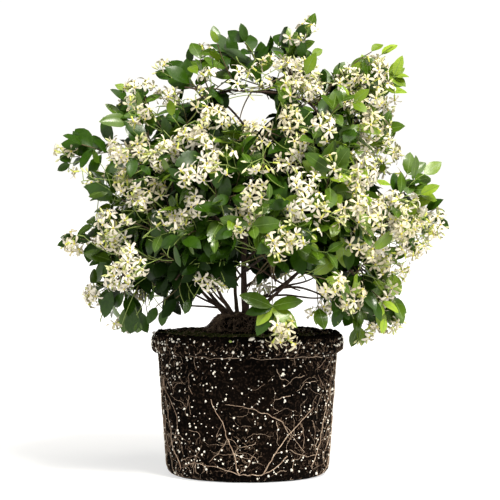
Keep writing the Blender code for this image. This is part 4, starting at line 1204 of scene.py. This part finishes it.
leaf = {
    # from the tip to each pair, and how much of a path can carry leaves
    "nodeGaps": (0.001, 0.018, 0.04, 0.064, 0.092), "leafyShare": 0.88,
    "length": (0.032, 0.049), "tipLength": (0.023, 0.039), "slim": (0.42, 0.54),
    "opening": (38.0, 84.0), "tipOpening": 0.62, "outward": 0.18, "droop": (-0.15, 0.5),
    "curl": (0.1, 0.85), "fold": (0.12, 0.5), "facing": 0.75, "turned": 0.5,
    "rows": (0.0, 0.07, 0.2, 0.38, 0.56, 0.74, 0.89, 1.0),
    "halfWidths": (0.0, 0.045, 0.6, 0.96, 1.0, 0.8, 0.42, 0.0),
    "columns": (-1.0, -0.5, 0.0, 0.5, 1.0), "bulge": 0.22, "wave": 0.1, "waveTurns": 9.0,
    # how many stay, in the crown, on the sprays that stand out and on those that hang low
    "keep": 0.8, "sprayKeep": 0.68, "hangKeep": 0.96, "sprayRight": 0.12, "stray": 0.03,
    "clearOfBlossom": 0.012, "tipReach": 1.08, "shrink": (1.0, 0.78),
    # leaves of high sprays rise and those of low ones hang; in front they face the front
    "highFrom": 0.4, "lowUnder": 0.3, "sprayRise": 0.3, "sprayHang": 0.75, "frontBefore": 0.03,
    "sprayFacing": (0.1, -1.0, 0.3),
    # the low left is more open
    "openLeftOf": -0.09, "openShare": 0.34,
    # the tone goes up from dark to pale: for tips and by chance; further out, higher and further right
    # as painted light, with painted shade at the left
    "toneTip": 0.16, "toneChance": 0.12, "toneOut": (0.8, 0.9), "toneLitTop": (0.42, 0.12, 0.08),
    "toneLitRightShadedLeft": (0.06, 0.16, 0.36), "sprayTone": 0.34, "toneSteps": (0.42, 0.8, 1.03),
    # painted shade: how far out the darkest tint and the next end, and how much further low down
    "shadeShares": (0.66, 0.74), "lowShade": 0.28,
    # the whorl over the hanging cluster: angle in the front view, length, tint
    "whorl": ((150, 0.05, 2), (186, 0.04, 1), (226, 0.036, 4), (329, 0.047, 3), (20, 0.046, 2),
              (240, 0.047, 1), (292, 0.027, 4)),
    "whorlForward": 0.4, "whorlFacing": (0.15, -1.0, 0.65), "whorlFoot": 0.004, "whorlStep": 0.0012,
    "whorlSize": (1.06, 0.46), "whorlCurl": 0.55, "whorlFold": 0.22,
    "ribHalf": (0.00045, 0.0004, 0.0001), "ribProud": 0.00025,
}


# A leaf blade: u runs along a midrib that arcs down, v across. The half width is read along u, the
# halves fold up from the midrib, and each bulges a little; both ends are single points
def leafSurface(origins, alongs, normals, lengths, widths, curls, folds, waves):
    u = np.array(leaf["rows"])
    v = np.array(leaf["columns"])
    half = np.array(leaf["halfWidths"])
    curl = curls[:, None] * u
    reach = lengths[:, None] * np.sin(curl) / curls[:, None]
    drop = lengths[:, None] * (1.0 - np.cos(curl)) / curls[:, None]
    width = widths[:, None] * 0.5 * half
    across = width[..., None] * v
    ripple = leaf["wave"] * np.sin(u[:, None] * leaf["waveTurns"] + waves[:, None, None]) * v
    lift = width[..., None] * (folds[:, None, None] * np.abs(v) - leaf["bulge"] * v * v + ripple)
    sides = np.cross(normals, alongs)[:, None, None]
    grid = (origins[:, None, None] + alongs[:, None, None] * reach[..., None, None]
            + sides * across[..., None] + normals[:, None, None] * (lift - drop[..., None])[..., None])
    ends = grid[:, (0, -1), 2]
    return np.concatenate((grid[:, 1:-1].reshape(len(origins), -1, 3), ends), axis=1), grid[:, :, 2]


# Faces of the blade's inner rows, and a fan of triangles to the point at each end
def leafFaces():
    rows, columns = len(leaf["rows"]) - 2, len(leaf["columns"])
    foot, last = rows * columns, (rows - 1) * columns
    column = np.arange(columns - 1)
    after = column + 1
    fans = np.concatenate((vectors(after, column, foot), vectors(foot + 1, last + column, last + after)))
    return gridFaces(rows, columns), fans


# The places where leaves stand on paths, counted back from the tips
def nodePlaces(paths, lengths):
    gaps = np.array(leaf["nodeGaps"])
    axis, node = np.meshgrid(np.arange(len(paths)), np.arange(len(gaps)), indexing="ij")
    axis, node = axis.ravel(), node.ravel()
    fits = gaps[node] < lengths[axis] * leaf["leafyShare"]
    axis, node = axis[fits], node[fits]
    share = 1.0 - gaps[node] / lengths[axis]
    return axis, node, pathAt(paths[axis], share), pathWay(paths[axis], share)


# Where pairs of leaves stand on the shoots and twigs: place, way, turn, node, tint and kind of spray
def leafPlaces():
    lots = []
    for paths, kinds, lengths in ((shoots, shootKinds, shootLengths), (twigs, twigKinds, twigLengths)):
        leafy = ~np.isin(kinds, growth["leafless"])
        paths, kinds, lengths = paths[leafy], kinds[leafy], lengths[leafy]
        axis, node, places, ways = nodePlaces(paths, lengths)
        tint = chance.integers(0, 1000, len(paths))[axis]
        turn = chance.uniform(0, tau, len(paths))[axis] + node * math.pi / 2
        lots += [(places, ways, turn + half, node, tint, kinds[axis]) for half in (0.0, math.pi)]
    return [np.concatenate(items) for items in zip(*lots)]


# Tints by depth and by spray: painted shade makes the inside darkest, and the newest leaves are palest
def leafTones(middles, node, tint, standsOut):
    x, z, share = middles[:, 0], middles[:, 2], crownShare(middles)
    reach, more = leaf["toneOut"]
    (high, highOver, highMore), (right, rightOver, rightMore) = leaf["toneLitTop"], leaf["toneLitRightShadedLeft"]
    uneven = chance.uniform(-leaf["toneChance"], leaf["toneChance"], len(tint))
    # painted shade by depth: the tone falls towards the inside of the crown and rises further out
    tone = tint / 1000.0 + leaf["toneTip"] * (node == 0) + uneven + (share - reach) * more
    # painted light: paler higher up and further right; painted shade: darker at the left
    tone += highMore * ramp(z, high, highOver) + rightMore * ramp(x, right, rightOver, low=-0.55)
    tone -= leaf["sprayTone"] * standsOut
    kind = 1 + np.digitize(tone, leaf["toneSteps"])
    # painted shade reaches further out low down, less at the right and at the far left
    low = ramp(-z, -0.36, 0.12) * np.clip(0.9 - x / 0.22, 0.0, 1.0) * leaf["lowShade"]
    low *= ramp(x, -0.2, 0.09, low=0.3)
    # painted shade: leaves deep inside take the darkest tint, and those just outside them at most the
    # next
    darkest, dark = leaf["shadeShares"]
    return np.where(share < darkest + low, 0, np.where(share < dark + low, np.minimum(kind, 1), kind))


# A leaf opens from its shoot by an angle, droops, and turns its face outwards and up. It has to
# stay inside the crown and clear of the sky, the bare stem, the ball and the blossom
def growLeaves():
    places, ways, turn, node, tint, kinds = leafPlaces()
    count = len(places)
    x, y, z = places.T
    standsOut = np.isin(kinds, ("leaves", "blossom"))
    high, hangs = standsOut & (z > leaf["highFrom"]), standsOut & (z < leaf["lowUnder"])
    likely = np.where(standsOut & (x < leaf["sprayRight"]), leaf["sprayKeep"], leaf["keep"])
    keep = chance.uniform(size=count) < np.where(hangs, leaf["hangKeep"], likely)
    opening = np.radians(chance.uniform(*leaf["opening"], count))
    opening[node == 0] *= leaf["tipOpening"]
    side = sideOf(ways, turn + chance.uniform(-0.35, 0.35, count))
    outward = unit(places - crown["centre"])
    along = ways * np.cos(opening)[:, None] + side * np.sin(opening)[:, None] + outward * leaf["outward"]
    droop = chance.uniform(*leaf["droop"], count)
    along[:, 2] -= droop - leaf["sprayRise"] * high + leaf["sprayHang"] * hangs
    along = unit(along)
    upward = np.array((0.0, 0.0, leaf["facing"]))
    facing = outward * leaf["facing"] + upward + chance.normal(0.0, leaf["turned"], (count, 3))
    shown = standsOut & (y < leaf["frontBefore"])
    facing[shown] = facing[shown] * 0.45 + np.array(leaf["sprayFacing"])
    normals = squareTo(along, facing)
    short, long = (chance.uniform(*leaf[size], count) for size in ("tipLength", "length"))
    length = np.where(node == 0, short, long)
    slim, curls, folds = (chance.uniform(*leaf[key], count) for key in ("slim", "curl", "fold"))
    waves = chance.uniform(0, tau, count)
    width = length * slim
    limit = np.where(kinds != "", leaf["tipReach"], fillLimit(places))
    stray = chance.uniform(size=count) < leaf["stray"]
    # a leaf that does not fit is tried again smaller, and then left out
    good = np.zeros(count, dtype=bool)
    for shrink in leaf["shrink"]:
        length, width = (np.where(good, size, size * shrink) for size in (length, width))
        points, ribs = leafSurface(places, along, normals, length, width, curls, folds, waves)
        hides = np.where(np.isin(kinds, growth["standing"]), inWindow(points).any(axis=1),
                         inSky(points).any(axis=1))
        fits = (crownShare(points).max(axis=1) < limit) & (~hides | stray) & clearOfBall(points)
        good |= fits & ~hidesStem(points).any(axis=1)
    keep &= good
    middles = points.mean(axis=1)
    low = (middles[:, 0] < leaf["openLeftOf"]) & (middles[:, 2] < leaf["lowUnder"])
    keep &= ~(low & (waves < leaf["openShare"] * tau))
    room = leaf["clearOfBlossom"] * np.where(standsOut, 0.5, 1.0)
    keep &= nearestDistance(middles, bloom["centres"]) > room
    tones = leafTones(middles, node, tint, standsOut)
    return points[keep], ribs[keep], tones[keep], normals[keep]


# The bright whorl: leaves round the end of its shoot, spread in the front view and leaning forward
def growWhorl():
    angle, length, tint = np.array(leaf["whorl"]).T
    count = len(angle)
    around = np.radians(angle)
    alongs = unit(vectors(np.cos(around), -leaf["whorlForward"], np.sin(around)))
    normals = squareTo(alongs, np.array(leaf["whorlFacing"]) + np.zeros((count, 3)))
    places = np.array(growth["single"][-1][2]) - alongs * leaf["whorlFoot"]
    places[:, 1] -= leaf["whorlStep"] * np.arange(count)[::-1]
    long, wide = leaf["whorlSize"]
    curls, folds = np.full(count, leaf["whorlCurl"]), np.full(count, leaf["whorlFold"])
    points, ribs = leafSurface(places, alongs, normals, length * long, length * wide,
                               curls, folds, angle)
    return points, ribs, tint.astype(int), normals


# The distance from each point to the nearest of some others, a part of them at a time
def nearestDistance(points, others):
    nearest = np.full(len(points), 1e9)
    for first in range(0, len(others), 400):
        gap = np.linalg.norm(points[:, None] - others[None, first:first + 400], axis=-1)
        nearest = np.minimum(nearest, gap.min(axis=1))
    return nearest


# Midribs: a narrow strip on the blade, a hair above it
def ribStrips(ribs, normals):
    count = ribs.shape[1]
    ways = unit(np.gradient(ribs, axis=1))
    up = squareTo(ways, np.repeat(normals[:, None], count, axis=1))
    half = np.interp(np.linspace(0, 1, count), (0.0, 0.5, 1.0), leaf["ribHalf"])[None, :, None]
    across = np.cross(up, ways) * half
    raised = ribs + up * leaf["ribProud"]
    return np.stack((raised - across, raised + across), axis=2)


def makeLeaves():
    points, ribs, kind, normals = (np.concatenate(pair) for pair in zip(growLeaves(), growWhorl()))
    quads, fans = leafFaces()
    each = points.shape[1]
    for number, tint in enumerate(leafTints):
        chosen = points[kind == number]
        faces = (repeated(shape, len(chosen), each) for shape in (quads, fans))
        makePiece("leaves" + tint, chosen, *faces, leafMaterials[number], "leaves",
                  leafNodes if number == 2 else ())
    # on the three paler tints
    strips = ribStrips(ribs[kind > 1], normals[kind > 1])
    quads = repeated(gridFaces(strips.shape[1], 2), len(strips), 2 * strips.shape[1])
    makePiece("leafRibs", strips, quads, (), ribMaterial, "leaves")
    print(len(points), "leaves", np.bincount(kind))


makeLeaves()


# Floor, light and camera

studio = {
    "sky": (1.0, 0.985, 0.945), "ceiling": 0.2, "horizon": 1.07, "band": (0.12, 0.3),
    "floor": (0.4, 0.4, 0.4), "glow": 0.66, "floorRadius": 30.0, "floorUnder": 0.0005,
    # the lamps' colour; power, width in degrees and way of each
    "sun": (1.0, 0.965, 0.89),
    "key": (2.7, 66.0, (0.6, -0.65, 1.4)), "fill": (0.4, 70.0, (-0.85, -0.75, 0.55)),
    "glint": (3.8, 11.0, (0.45, -0.8, 1.1)),
    "target": (0.0036, 0.0, 0.3226), "lens": 154.8,
}


# The sky is brightest in a band above the horizon, like a lit studio wall, and dimmer overhead
def makeSky():
    world = bpy.data.worlds.new("softSky")
    world.use_nodes = True
    nodes, links = world.node_tree.nodes, world.node_tree.links
    place = nodes.new("ShaderNodeTexCoord")
    parts = nodes.new("ShaderNodeSeparateXYZ")
    fade = nodes.new("ShaderNodeMapRange")
    fade.inputs["From Min"].default_value, fade.inputs["From Max"].default_value = studio["band"]
    fade.inputs["To Min"].default_value = studio["horizon"]
    fade.inputs["To Max"].default_value = studio["ceiling"]
    links.new(place.outputs["Generated"], parts.inputs[0])
    links.new(parts.outputs["Z"], fade.inputs["Value"])
    links.new(fade.outputs["Result"], nodes["Background"].inputs["Strength"])
    nodes["Background"].inputs["Color"].default_value = (*studio["sky"], 1.0)
    bpy.context.scene.world = world


# Turns a lamp or the camera so that its back faces along a way
def aimFrom(thing, way):
    thing.rotation_euler = way.to_track_quat("Z", "Y").to_euler()


def makeStudio():
    scene = bpy.context.scene
    scene.view_settings.view_transform = "Standard"
    makeSky()
    bpy.ops.mesh.primitive_circle_add(vertices=96, radius=studio["floorRadius"], fill_type="TRIFAN")
    floor = bpy.context.object
    floor.name = "floor"
    floor.location.z = -studio["floorUnder"]
    paper = bpy.data.materials.new("palePaper")
    paper.use_nodes = True
    shader = paper.node_tree.nodes["Principled BSDF"]
    shader.inputs["Base Color"].default_value = (*studio["floor"], 1.0)
    shader.inputs["Roughness"].default_value = 0.9
    shader.inputs["Emission Color"].default_value = (1.0, 1.0, 1.0, 1.0)
    shader.inputs["Emission Strength"].default_value = studio["glow"]
    shader.inputs["Specular IOR Level"].default_value = 0.1
    floor.data.materials.append(paper)
    for name in ("key", "fill", "glint"):
        power, softness, way = studio[name]
        lamp = bpy.data.lights.new(name + "Light", "SUN")
        lamp.energy = power
        lamp.color = studio["sun"]
        lamp.angle = math.radians(softness)
        light = bpy.data.objects.new(name + "Light", lamp)
        scene.collection.objects.link(light)
        light.location = Vector(way) * 3.0
        aimFrom(light, Vector(way))
    camera = bpy.data.objects.new("camera", bpy.data.cameras.new("camera"))
    scene.collection.objects.link(camera)
    camera.data.lens = studio["lens"]
    camera.data.sensor_width = 36.0
    camera.location = crown["eye"]
    aimFrom(camera, camera.location - Vector(studio["target"]))
    scene.camera = camera


makeStudio()
print("studio ready")
